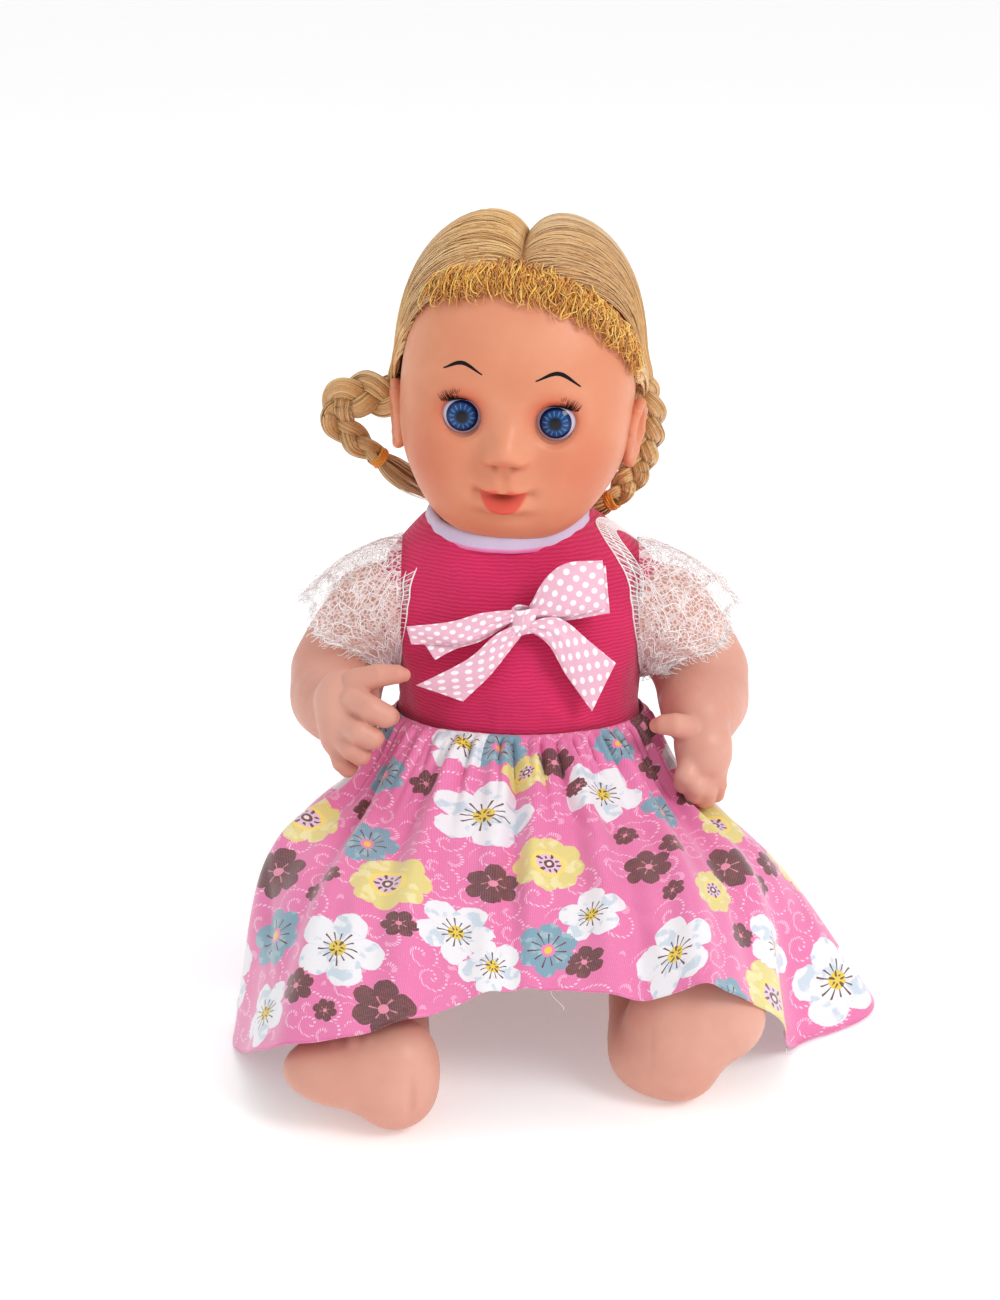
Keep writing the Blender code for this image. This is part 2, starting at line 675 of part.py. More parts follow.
HAIR_EDGE = (0, -24, 81)  # middle of the hairline
NAPE_EDGE = (0, 26, 12)
FRINGE_WIDTH = 11
BRAIDS = {  # beads of each braid, then the elastic and the end of the tail, on the right and the left
    "right": [(-45, 14, 56, 5), (-56, 14, 52, 5.5), (-63, 13, 43, 6), (-59, 13, 34, 5.5), (-53, 14, 29, 4.5)],
    "left": [(46, 17, 52, 5.5), (49, 17, 42, 6.5), (48, 17, 31, 6.5), (45, 17, 20, 5.5), (41, 17, 14, 4.5)],
}
TAILS = {
    "right": [(-48, 14, 24), (-30, 20, 6)],
    "left": [(36.5, 17, 10.5), (22, 21, 4)],
}


def hairline_normal():
    run = Vector(NAPE_EDGE) - Vector(HAIR_EDGE)
    return Vector((0, run.z, -run.y)).normalized()


def make_hair(frame):
    normal = hairline_normal()
    cap_form = skull_form(HAIR_GAP, False)
    keep_behind(cap_form, Vector(HAIR_EDGE), normal)
    cap = add_object("hair_cap", cap_form, "hair", frame)
    solidify(cap, HAIR_THICK)
    for side_name, side in SIDES.items():
        room = ball_form((side * (EAR[0] + 1), EAR[1], EAR[2]), (9, 10, 15))
        boolean(cap, add_object(f"{side_name}_ear_room", room, frame=frame))
    fringe_form = skull_form(HAIR_GAP, False)
    keep_behind(fringe_form, Vector(HAIR_EDGE) + normal * (GAP + FRINGE_WIDTH), normal)
    keep_behind(fringe_form, Vector(HAIR_EDGE) + normal * (GAP + HAIR_GAP), -normal)
    keep_behind(fringe_form, Vector((0, 0, 58)), Vector((0, 0, -1)))
    fringe = add_object("fringe", fringe_form, "hair", frame)
    solidify(fringe, HAIR_THICK)
    clear_skull = add_object("hair_room", skull_form(HAIR_GAP + HAIR_THICK + GAP, False), frame=frame)
    for side_name in SIDES:
        braid = add_object(f"{side_name}_braid", merged(bead_forms(BRAIDS[side_name], 3)), "hair", frame)
        soften(braid, 2.2, 0.2)
        boolean(braid, clear_skull)
        start, end = (Vector(point) for point in TAILS[side_name])
        run = (end - start).normalized()
        bulge = start + run * 9
        cone = rod_form(start, bulge, 2.4, 4, sides=12)
        tail = add_object(f"{side_name}_braid_tail", cone, "hair", frame)
        tip = rod_form(bulge - run * 0.5, end, 4, 1.5, sides=12)
        boolean(tail, add_object(f"{side_name}_tail_tip", tip, frame=frame), "UNION")
        ring = rod_form(start, start + run * HAIR_BAND_WIDTH, HAIR_BAND_RADIUS, sides=14)
        band = add_object(f"{side_name}_hair_band", ring, "elastic", frame)
        bore = rod_form(start - run, start + run * 4, 2.4 + GAP + 0.2, 2.9 + GAP + 0.4, sides=14)
        boolean(band, add_object(f"{side_name}_band_bore", bore, frame=frame))


# --- arms and legs ----------------------------------------------------------

# Beads of the left limbs, from the centre of the shoulder or hip face: across, forward, up, radius
ARM_BEADS = [
    (9, 0, 0, 14.5),
    (17, -1, -8, 14),
    (23, -5, -19, 14),
    (21.5, -19, -22, 12.6),
    (19, -32, -22, 8.8),
]
HAND_BALLS = [
    ((16, -40, -24), (9, 7.5, 9)),
    ((14.5, -46, -33), (8.5, 5, 8)),
    ((8, -44, -24), (4, 3.6, 5)),
]
LEG_BEADS = [
    (15, 0, 0, 19.3),
    (19, -20, 0, 19.3),
    (22, -42, 0, 18),
    (22, -62, -1, 16.5),
    (19, -84, -5, 15),
    (17, -100, -9, 12.5),
    (16, -116, -13.6, 10.2),
]
FOOT_BALLS = [
    ((18, -118, -8), (12, 10, 14)),
    ((25, -118, 1), (12.5, 10, 12)),
    ((32, -115, 7), (11, 9, 10)),
]
ARM_PITCH = {"right": math.radians(-4), "left": math.radians(4)}


def flip(forms_data, side):
    return [((side * c[0], c[1], c[2]), r) for c, r in forms_data]


def limb(name, frame, side, beads, balls, inner_radius):
    """A limb that melts its beads together, with a flat face, a neck and a flange at its joint."""
    stations = [(side * x, y, z, r) for x, y, z, r in beads]
    forms = bead_forms(stations) + [ball_form(c, r, 12, 8) for c, r in flip(balls, side)]
    piece = add_object(name, merged(forms), "skin", frame)
    soften(piece, 3.2, 0.14)
    low, high = sorted((side * GAP * 2, side * -60))
    trim = add_object(name + "_trim", box_form((low, -90, -60), (high, 60, 60)), frame=frame)
    boolean(piece, trim)
    disc = rod_form((side * GAP, 0, 0), (side * 8, 0, 0), inner_radius, inner_radius - 1, sides=28)
    boolean(piece, add_object(name + "_disc", disc, frame=frame), "UNION")
    neck = rod_form((side * 1, 0, 0), (-side * (TORSO_WALL + 2), 0, 0), LIMB_NECK_RADIUS, sides=16)
    boolean(piece, add_object(name + "_neck", neck, frame=frame), "UNION")
    flange_x = TORSO_WALL + GAP
    inner_x = flange_x + LIMB_FLANGE
    flange = rod_form((-side * flange_x, 0, 0), (-side * inner_x, 0, 0), LIMB_FLANGE_RADIUS)
    boolean(piece, add_object(name + "_flange", flange, frame=frame), "UNION")
    return piece


def make_limbs():
    for side_name, side in SIDES.items():
        x, y, z = SHOULDER
        arm_frame = add_frame(f"{side_name}_shoulder_frame", (side * x, y, z), (ARM_PITCH[side_name], 0, 0))
        limb(f"{side_name}_arm", arm_frame, side, ARM_BEADS, HAND_BALLS, SHOULDER_RADIUS - 1.5)
        make_sleeve(side_name, side, arm_frame)
        x, y, z = HIP
        leg_frame = add_frame(f"{side_name}_hip_frame", (side * x, y, z))
        limb(f"{side_name}_leg", leg_frame, side, LEG_BEADS, FOOT_BALLS, HIP_RADIUS - 3)


LACE_THICK = 1.1
SLEEVE_SIDES = 20
FOREARM_ROOM = 14.6
SLEEVE_RINGS = [  # centre across, forward, up, radius and tilt from upright
    (6.5, 0, 0, 17.8, 0),
    (10, -0.3, -3, 18.4, 12),
    (14, -1, -6, 18.8, 22),
    (17.5, -2, -10, 19.4, 30),
]


def make_sleeve(side_name, side, frame):
    """A short lace sleeve round the upper arm, open at both ends."""
    rings = []
    for x, y, z, radius, tilt in SLEEVE_RINGS:
        lean = math.radians(tilt)
        ring = []
        for i in range(SLEEVE_SIDES):
            turn = 2 * math.pi * i / SLEEVE_SIDES
            up, along = radius * math.sin(turn), radius * math.cos(turn)
            ring.append((side * (x + up * math.sin(lean)), y + along, z + up * math.cos(lean)))
        rings.append(ring)
    sleeve = add_object(f"{side_name}_lace_sleeve", ring_stack(rings, False), "lace", frame)
    solidify(sleeve, LACE_THICK)
    room = rod_form((side * 23, -7, -19), (side * 19, -40, -22), FOREARM_ROOM)
    boolean(sleeve, add_object(f"{side_name}_forearm_room", room, frame=frame))


# --- dress ------------------------------------------------------------------

BODICE_HEIGHTS = [WAIST, 78, 89, 100, 117, 125, 127]
SKIRT_SIDES = 36
SKIRT_ROWS = 6
COLLAR = (NECK[0], 10, 131.8)
COLLAR_RADII = (24.5, 21.5)
COLLAR_SIDES = 28


def make_bodice():
    form = torso_form(CLOTH_GAP, BODICE_HEIGHTS, closed=False)
    bodice = add_object("bodice", form, "knit")
    solidify(bodice, BODICE_THICK)
    for side_name, side in SIDES.items():
        x, y, z = SHOULDER
        hole = rod_form((side * (x - 8), y, z), (side * (x + 12), y, z), ARMHOLE_RADIUS, sides=28)
        boolean(bodice, add_object(f"{side_name}_armhole", hole))


def skirt_ring(angle):
    """Waist, fullness and hem of the skirt in one direction, as three guide points."""
    across, along = math.cos(angle), math.sin(angle)
    waist = Vector((40.5 * across, 2 + 33.5 * along, WAIST - 1))
    to_front = max(0, -along)
    full = Vector((82 * across, -6 + (66 if along < 0 else 56) * along, 53))
    hem = Vector((98 * across, -18 + (84 if along < 0 else 78) * along, 1))
    over_leg = min(1, max(0, (to_front - 0.45) / 0.3))
    knee_rise = 51 - 14 * max(0, 1 - abs(across) / 0.25)
    hem.z += (knee_rise - 1) * over_leg
    hem.y -= 10 * over_leg
    return waist, full, hem


def make_skirt():
    rings = []
    for row in range(SKIRT_ROWS):
        t = row / (SKIRT_ROWS - 1)
        ring = []
        for i in range(SKIRT_SIDES):
            waist, full, hem = skirt_ring(2 * math.pi * i / SKIRT_SIDES)
            ring.append(waist * (1 - t) ** 2 + full * 2 * t * (1 - t) + hem * t * t)
        rings.append(ring)
    skirt = add_object("skirt", ring_stack(rings, False), "print")
    solidify(skirt, SKIRT_THICK)


def make_collar():
    x, y, z = COLLAR
    turn = 2 * math.pi / COLLAR_SIDES
    section = [(-2.4, 0), (0, 2.1), (2.4, 0), (0, -2.1)]
    rings = []
    for i in range(COLLAR_SIDES):
        across, along = math.cos(i * turn), math.sin(i * turn)
        rings.append([
            (x + (COLLAR_RADII[0] + u) * across, y + (COLLAR_RADII[1] + u) * along, z + w) for u, w in section
        ])
    bm = ring_stack(rings + [rings[0]], False)
    bmesh.ops.remove_doubles(bm, verts=bm.verts, dist=0.001)
    add_object("collar_binding", bm, "satin")


BOW_KNOT = (1, -29, 119)
BOW_KNOT_RADII = (2.8, 2.4, 4)
BOW_THICK = 1.2
BOW_PIECES = {
    # Outlines across and up from the knot
    "bow_left_loop": [(3, 1.5), (11, 13.5), (23, 17), (26, 2.5), (13, -0.5)],
    "bow_right_loop": [(-4, 1.5), (-16, 2), (-35, -1.5), (-33, -5), (-15, -4.5), (-4, -1.5)],
    "bow_left_tail": [(3.5, -2), (13, -3.5), (28, -15.5), (21, -28), (12, -15.5)],
    "bow_right_tail": [(-2, -3.5), (-8, -3), (-21, -11.5), (-33, -21.5), (-16, -24.5), (-7, -13.5)],
}


def make_bow():
    x, y, z = BOW_KNOT
    add_object("bow_knot", ball_form(BOW_KNOT, BOW_KNOT_RADII, 14, 8), "satin")
    for name, outline in BOW_PIECES.items():
        flat_piece(name, [(x + u, z + v) for u, v in outline], y, BOW_THICK, "satin")


make_torso()
make_screws()
make_voice_unit()
make_button()
make_battery_box()
make_power_switch()
make_neck_ring()
make_head()
make_limbs()
make_bodice()
make_skirt()
make_collar()
make_bow()
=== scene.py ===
"""Looks of the interactive baby doll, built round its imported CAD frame."""

import json
import math

import bmesh
import bpy
import numpy as np
from mathutils import Euler, Matrix, Vector


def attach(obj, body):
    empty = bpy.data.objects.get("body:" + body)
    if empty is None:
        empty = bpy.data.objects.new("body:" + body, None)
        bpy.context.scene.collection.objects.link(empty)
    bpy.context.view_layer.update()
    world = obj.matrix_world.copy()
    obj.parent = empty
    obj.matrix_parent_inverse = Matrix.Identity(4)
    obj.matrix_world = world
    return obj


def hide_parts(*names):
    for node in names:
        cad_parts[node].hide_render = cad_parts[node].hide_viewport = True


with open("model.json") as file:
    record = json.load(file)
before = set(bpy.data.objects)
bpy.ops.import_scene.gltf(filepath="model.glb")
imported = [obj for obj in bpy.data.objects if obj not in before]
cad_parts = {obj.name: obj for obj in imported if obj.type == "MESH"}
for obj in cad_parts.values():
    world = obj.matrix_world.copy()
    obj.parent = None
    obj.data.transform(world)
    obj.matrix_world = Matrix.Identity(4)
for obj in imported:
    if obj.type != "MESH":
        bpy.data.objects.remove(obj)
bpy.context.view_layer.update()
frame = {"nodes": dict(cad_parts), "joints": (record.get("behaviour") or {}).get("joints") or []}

# Lengths are in millimetres. Each piece is made in the frame of its part: world, head, eye, arm or leg.
MM = 0.001
SIDES = {"right": -1, "left": 1}
JOINTS = {joint["name"]: joint for joint in frame["joints"]}
RNG = np.random.default_rng(20)


def joint_place(name):
    return Vector(JOINTS[name]["pos_m"]) / MM


# --- frames -----------------------------------------------------------------

HEAD_ROLL = math.radians(3.2)
HEAD_YAW = math.radians(-5)
ARM_PITCH = {"right": math.radians(-4), "left": math.radians(4)}


def frame_at(place, turn=(0, 0, 0)):
    return Matrix.Translation(Vector(place) * MM) @ Euler(turn).to_matrix().to_4x4()


HEAD = frame_at(joint_place("head_turn"), (0, HEAD_ROLL, HEAD_YAW))
EYES = {
    name: HEAD.inverted() @ (joint_place(f"{name}_eye_close") * MM) / MM for name in SIDES
}
EYE_FRAMES = {name: HEAD @ frame_at(EYES[name]) for name in SIDES}
ARM_FRAMES = {
    name: frame_at(joint_place(f"{name}_shoulder"), (ARM_PITCH[name], 0, 0)) for name in SIDES
}
LEG_FRAMES = {name: frame_at(joint_place(f"{name}_hip")) for name in SIDES}


# --- mesh helpers -----------------------------------------------------------


def make_mesh(name, points, faces, material, at=None, sharp=None, **attributes):
    """A smooth mesh of points in the frame `at`; each attribute has a value or a vector a point."""
    mesh = bpy.data.meshes.new(name)
    mesh.from_pydata((np.asarray(points, float) * MM).tolist(), [], np.asarray(faces).tolist())
    mesh.shade_smooth()
    if sharp:
        mesh.set_sharp_from_angle(angle=math.radians(sharp))
    for key, values in attributes.items():
        values = np.asarray(values, np.float32)
        if values.ndim == 1:
            mesh.attributes.new(key, "FLOAT", "POINT").data.foreach_set("value", values)
        else:
            mesh.attributes.new(key, "FLOAT_VECTOR", "POINT").data.foreach_set("vector", values.ravel())
    mesh.materials.append(material)
    obj = bpy.data.objects.new(name, mesh)
    bpy.context.scene.collection.objects.link(obj)
    if at is not None:
        obj.matrix_world = at
    return obj


def finish_piece(piece, body, slot, *nodes):
    """The piece stands for those CAD nodes and rides on a body; slot is not used."""
    if nodes:
        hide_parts(*nodes)
    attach(piece, body)


def facing_out(faces, side):
    """Faces of a form made for the left side, turned over where it is mirrored."""
    return faces if side > 0 else faces[:, ::-1]


def grid_faces(rows, columns, around=False, start=0):
    """Quads over points laid out row by row; around joins each row's ends."""
    i, j = np.meshgrid(np.arange(rows - 1), np.arange(columns if around else columns - 1), indexing="ij")
    k = (j + 1) % columns
    quads = np.stack([i * columns + j, i * columns + k, (i + 1) * columns + k, (i + 1) * columns + j], -1)
    return quads.reshape(-1, 4) + start


def unit(v):
    return v / np.maximum(np.linalg.norm(v, axis=-1, keepdims=True), 1e-9)


def smooth_step(x, low, high):
    t = np.clip((x - low) / (high - low), 0, 1)
    return t * t * (3 - 2 * t)


def between(a, b, c, d, t):
    """A smooth curve from b to c that comes from a and goes on to d."""
    return 0.5 * (
        2 * b + (c - a) * t + (2 * a - 5 * b + 4 * c - d) * t**2 + (3 * b - a - 3 * c + d) * t**3
    )


def curve_through(points, count):
    """Evenly spaced points on a smooth curve through a few guide rows of any width."""
    p = np.asarray(points, float)
    p = np.concatenate([[2 * p[0] - p[1]], p, [2 * p[-1] - p[-2]]])
    fine = []
    for a, b, c, d in zip(p, p[1:], p[2:], p[3:]):
        t = np.linspace(0, 1, 24, endpoint=False)[:, None]
        fine.append(between(a, b, c, d, t))
    fine = np.concatenate([*fine, p[-2:-1]])
    along = np.concatenate([[0], np.cumsum(np.linalg.norm(np.diff(fine[:, :3], axis=0), axis=1))])
    at = np.linspace(0, along[-1], count)
    return np.stack([np.interp(at, along, fine[:, k]) for k in range(fine.shape[1])], -1)


def tube_points(paths, radii, sides=3, flat=1.0, up=(0.31, 0.22, 0.93)):
    """Points round many paths at once: (tubes, steps, sides, 3)."""
    paths = np.asarray(paths, float)
    run = unit(np.gradient(paths, axis=1))
    across = unit(np.cross(run, np.broadcast_to(up, run.shape)))
    other = np.cross(across, run)
    turn = 2 * np.pi * np.arange(sides) / sides
    radii = np.broadcast_to(radii, paths.shape[:2])[..., None, None]
    ring = across[:, :, None] * np.cos(turn)[:, None] + other[:, :, None] * np.sin(turn)[:, None] * flat
    return paths[:, :, None] + ring * radii


def tubes(name, paths, radii, material, at=None, sides=3, tone=None, **kinds):
    """One mesh of many thin tubes with capped-thin ends; tone is a value a tube."""
    points = tube_points(paths, radii, sides, **kinds)
    count, steps = points.shape[:2]
    one = grid_faces(steps, sides, around=True)
    faces = (one[None] + (np.arange(count) * steps * sides)[:, None, None]).reshape(-1, 4)
    tone = RNG.random(count) if tone is None else np.asarray(tone)
    along = np.broadcast_to(np.linspace(0, 1, steps)[None, :, None], points.shape[:3])
    tones = np.broadcast_to(tone[:, None, None], points.shape[:3])
    marks = {"tone": tones.ravel(), "along": along.ravel()}
    return make_mesh(name, points.reshape(-1, 3), faces, material, at, **marks)


def tapered(steps, ends=0.25):
    """Radii along a strand, 1 in the middle and thin at both ends."""
    t = np.linspace(0, 1, steps)
    return np.clip(np.minimum(t, 1 - t) / ends, 0.08, 1) ** 0.5


# --- solid forms from a distance field ---------------------------------------


def soft_min(a, b, melt):
    h = np.clip(0.5 + 0.5 * (b - a) / melt, 0, 1)
    return b + (a - b) * h - melt * h * (1 - h)


def soft_carve(a, b, melt):
    """a with the form b taken out of it."""
    return -soft_min(-a, b, melt)


def round_cone(p, a, b, ra, rb):
    a, b = np.asarray(a, float), np.asarray(b, float)
    t = np.clip((p - a) @ (b - a) / ((b - a) @ (b - a)), 0, 1)
    return np.linalg.norm(p - a - t[:, None] * (b - a), axis=1) - ra - (rb - ra) * t


def chain(p, beads, melt):
    """Distance to a run of beads (x, y, z, radius)."""
    total = None
    for a, b in zip(beads, beads[1:]):
        part = round_cone(p, a[:3], b[:3], a[3], b[3])
        total = part if total is None else soft_min(total, part, melt)
    return total


def ellipsoid(p, centre, radii):
    q = p - np.asarray(centre, float)
    near = np.linalg.norm(q / radii, axis=1)
    steep = np.linalg.norm(q / np.square(radii), axis=1)
    return near * (near - 1) / np.maximum(steep, 1e-9)


def field_mesh(field, low, high, step):
    """Points and quads where the field crosses zero, pulled onto it and evened out."""
    axes = [np.arange(a, b + 2 * step, step) for a, b in zip(low, high)]
    grid = np.stack(np.meshgrid(*axes, indexing="ij"), -1)
    value = field(grid.reshape(-1, 3)).reshape(grid.shape[:3])
    inside = value < 0
    cells = tuple(n - 1 for n in value.shape)
    total, count = np.zeros(cells + (3,)), np.zeros(cells, int)
    edges = []
    for axis in range(3):
        here = [slice(None)] * 3
        there = [slice(None)] * 3
        here[axis], there[axis] = slice(None, -1), slice(1, None)
        a, b = value[tuple(here)], value[tuple(there)]
        cross = inside[tuple(here)] != inside[tuple(there)]
        point = grid[tuple(here)].copy()
        point[..., axis] += np.where(cross, a / np.where(cross, a - b, 1), 0) * step
        others = [k for k in range(3) if k != axis]
        for i in (0, 1):
            for j in (0, 1):
                part = [slice(None)] * 3
                part[others[0]] = slice(i, i + cells[others[0]])
                part[others[1]] = slice(j, j + cells[others[1]])
                hit = cross[tuple(part)]
                total += point[tuple(part)] * hit[..., None]
                count += hit
        edges.append((axis, others, cross, inside[tuple(here)]))
    used = count > 0
    index = np.full(cells, -1)
    index[used] = np.arange(used.sum())
    points = total[used] / count[used][:, None]
    quads = []
    for axis, (u, v), cross, start_inside in edges:
        spot = np.argwhere(cross)
        spot = spot[(spot[:, u] > 0) & (spot[:, v] > 0) & (spot[:, u] < cells[u]) & (spot[:, v] < cells[v])]
        corner = []
        for i, j in ((1, 1), (0, 1), (0, 0), (1, 0)):
            at = spot.copy()
            at[:, u] -= i
            at[:, v] -= j
            corner.append(index[tuple(at.T)])
        quad = np.stack(corner, -1)
        outward = start_inside[tuple(spot.T)] == (axis != 1)
        quads.append(np.where(outward[:, None], quad, quad[:, ::-1]))
    quads = np.concatenate(quads)
    for _ in range(4):
        points = pull_onto(field, relax(points, quads), step)
    return points, quads


def relax(points, quads):
    """Each point moved to the middle of its neighbours."""
    total, count = np.zeros_like(points), np.zeros(len(points))
    for a, b in ((0, 1), (1, 2), (2, 3), (3, 0)):
        np.add.at(total, quads[:, a], points[quads[:, b]])
        np.add.at(total, quads[:, b], points[quads[:, a]])
        np.add.at(count, quads[:, a], 1)
        np.add.at(count, quads[:, b], 1)
    return total / np.maximum(count, 1)[:, None]


def pull_onto(field, points, step):
    reach = 0.25 * step
    value = field(points)
    slope = np.stack(
        [(field(points + reach * e) - field(points - reach * e)) / (2 * reach) for e in np.eye(3)], -1
    )
    move = value[:, None] * slope / np.maximum((slope**2).sum(1), 0.2)[:, None]
    return points - np.clip(move, -step, step)


# --- materials --------------------------------------------------------------


def rgb(red, green, blue):
    """A colour from its usual 0 to 255 values."""
    c = np.array([red, green, blue]) / 255
    c = np.where(c <= 0.04045, c / 12.92, ((c + 0.055) / 1.055) ** 2.4)
    return (*map(float, c), 1.0)


class Signal:
    """A node's output; arithmetic and comparison signs add a maths node after it."""

    def __init__(self, finish, socket):
        self.finish, self.socket = finish, socket

    def __add__(self, other):
        return self.finish.maths("ADD", self, other)

    def __radd__(self, other):
        return self.finish.maths("ADD", other, self)

    def __sub__(self, other):
        return self.finish.maths("SUBTRACT", self, other)

    def __mul__(self, other):
        return self.finish.maths("MULTIPLY", self, other)

    def __truediv__(self, other):
        return self.finish.maths("DIVIDE", self, other)

    def __lt__(self, other):
        return self.finish.maths("LESS_THAN", self, other)

    def __gt__(self, other):
        return self.finish.maths("GREATER_THAN", self, other)

    def __abs__(self):
        return self.finish.maths("ABSOLUTE", self)

    __rmul__ = __mul__


class Finish:
    """Builds one node material; each call adds a node and gives its output."""

    def __init__(self, name, **settings):
        self.material = bpy.data.materials.new(name)
        self.material.use_nodes = True
        self.tree = self.material.node_tree
        self.surface = self.tree.nodes["Principled BSDF"]
        for key, value in settings.items():
            self.set(key.replace("_", " "), value)

    def set(self, key, value):
        names = {name.lower(): name for name in self.surface.inputs.keys()}
        self.feed(self.surface.inputs[names[key.lower()]], value)

    def feed(self, socket, value):
        if isinstance(value, Signal):
            self.tree.links.new(value.socket, socket)
        else:
            socket.default_value = value

    def node(self, kind, inputs=(), output=0, **settings):
        node = self.tree.nodes.new("ShaderNode" + kind)
        for key, value in settings.items():
            setattr(node, key, value)
        for key, value in dict(inputs).items():
            self.feed(node.inputs[key], value)
        return Signal(self, node.outputs[output])

    def maths(self, operation, *values):
        return self.node("Math", enumerate(values), operation=operation)

    def vector(self, operation, *values, output=0):
        return self.node("VectorMath", enumerate(values), output, operation=operation)

    def split(self, vector):
        node = self.tree.nodes.new("ShaderNodeSeparateXYZ")
        self.feed(node.inputs[0], vector)
        return [Signal(self, part) for part in node.outputs]

    def join(self, x, y, z=0.0):
        return self.node("CombineXYZ", {0: x, 1: y, 2: z})

    def place(self, scale=(1000, 1000, 1000)):
        """The piece's own coordinates in millimetres, times a stretch."""
        stretch = tuple(np.broadcast_to(scale, 3).astype(float))
        return self.vector("MULTIPLY", self.node("TexCoord", output="Object"), stretch)

    def value(self, name, output="Fac"):
        return self.node("Attribute", output=output, attribute_name=name)

    def noise(self, vector, scale, detail=2.0, roughness=0.5, output="Fac"):
        settings = {"Vector": vector, "Scale": scale, "Detail": detail, "Roughness": roughness}
        return self.node("TexNoise", settings, output)

    def step(self, value, low, high, start=0.0, end=1.0):
        settings = {"Value": value, 1: low, 2: high, 3: start, 4: end}
        return self.node("MapRange", settings, interpolation_type="SMOOTHSTEP")

    def mix(self, share, a, b, blend="MIX"):
        node = self.tree.nodes.new("ShaderNodeMix")
        node.data_type, node.blend_type = "RGBA", blend
        for key, value in ((0, share), (6, a), (7, b)):
            self.feed(node.inputs[key], value)
        return Signal(self, node.outputs[2])

    def bump(self, height, distance, strength=1.0):
        """A relief of that height in millimetres."""
        normal = self.node("Bump", {"Height": height, "Distance": distance * MM, "Strength": strength})
        self.set("Normal", normal)
        return normal


def skin_finish(name, pale, warm, blush_and_shade):
    """Soft vinyl: a warm colour with blush and painted shade, fine mould grain and light that enters it."""
    f = Finish(name, roughness=0.42, subsurface_weight=0.25, subsurface_scale=0.004)
    f.set("Subsurface Radius", (1.0, 0.35, 0.2))
    f.set("Specular IOR Level", 0.38)
    place = f.place()
    cloud = f.noise(place, 0.045, 3)
    colour = f.mix(f.step(cloud, 0.35, 0.7), warm, pale)
    # Blush on the cheeks, nose, chin and limb tips is real paint; the same colour round the eye openings
    # and in the ears is painted shade.
    colour = f.mix(f.value("blush_and_shade"), colour, blush_and_shade)
    colour = f.mix(f.value("lip") * 0.85, colour, rgb(214, 66, 54))
    # Painted shade: a dark brown in the nostrils, between the lips, at the corners of the mouth, round the
    # eye openings and along the lid's edge.
    colour = f.mix(f.value("shade"), colour, rgb(120, 42, 26))
    f.set("Base Color", colour)
    f.bump(f.noise(place, 2.4, 3), 0.05, 0.35)
    f.set("Roughness", f.step(f.noise(place, 0.8, 2), 0.3, 0.7, 0.36, 0.48))
    return f.material


def hair_finish(name, light, middle, dark):
    """Nylon hair: each strand has its own tone, with painted shade darkening it at its root."""
    f = Finish(name, roughness=0.34, anisotropic=0.5)
    tone = f.value("tone")
    fine = f.noise(f.place(), 1.1, 2)
    tone = tone * 0.75 + fine * 0.35
    colour = f.mix(f.step(tone, 0.15, 0.55), dark, middle)
    colour = f.mix(f.step(tone, 0.5, 0.95), colour, light)
    # Painted shade: the first tenth of each strand, where it meets the head, is darkened.
    root = f.step(f.value("along"), 0.0, 0.1, 0.55, 0.0)
    f.set("Base Color", f.mix(root, colour, dark))
    f.set("Sheen Weight", 0.25)
    f.set("Specular IOR Level", 0.65)
    return f.material


def eye_finish():
    """A printed iris with a dark rim and pale strokes on a white ball that darkens towards the edge of the
    opening as painted shade, under a clear gloss.
    """
    f = Finish("eye_print", roughness=0.12, coat_weight=0.25, coat_roughness=0.03)
    f.set("Specular IOR Level", 0.2)
    x, _, z = f.split(f.place())
    flat = f.join(x, z)
    far = f.vector("LENGTH", flat, output=1)
    turn = f.maths("ARCTAN2", z, x)
    ripple = f.noise(flat, 0.9, 2) * 1.6
    stroke = f.maths("COSINE", turn * 14.0 + ripple)
    stroke = f.step(stroke, 0.55, 1.0) * f.step(far, 2.1, 3.0)
    stroke = stroke * f.step(far, 4.3, 3.8)
    colour = f.mix(f.step(far, 1.6, 2.8), rgb(8, 18, 44), rgb(20, 66, 122))
    colour = f.mix(stroke * 0.6, colour, rgb(96, 158, 208))
    colour = f.mix(f.step(far, 3.9, 4.5), colour, rgb(12, 24, 72))
    colour = f.mix(f.step(far, 1.75, 1.5), colour, rgb(4, 6, 14))
    # Painted shade: the white turns a dull mauve away from the iris, towards the rim of the opening.
    white = f.mix(f.step(far, 5.2, 7.5), rgb(196, 186, 208), rgb(130, 108, 128))
    f.set("Base Color", f.mix(f.step(far, 5.0, 5.15), colour, white))
    f.bump(f.noise(f.place(), 0.6, 1), 0.03, 0.2)
    return f.material


def lash_finish():
    """Black nylon with no shine."""
    f = Finish("eyelash_nylon", roughness=0.7)
    f.set("Specular IOR Level", 0.15)
    f.set("Base Color", f.mix(f.noise(f.place(), 2.0), rgb(10, 8, 9), rgb(30, 20, 22)))
    return f.material


def elastic_finish():
    """Wound elastic: ridges round a soft orange band."""
    f = Finish("hair_elastic", roughness=0.55)
    place = f.place()
    wind = f.maths("SINE", f.split(place)[2] * 9.0)
    f.set("Base Color", f.mix(f.noise(place, 1.5, 3), rgb(206, 120, 30), rgb(236, 158, 60)))
    f.bump(wind + f.noise(place, 2.5, 2), 0.12, 0.6)
    return f.material


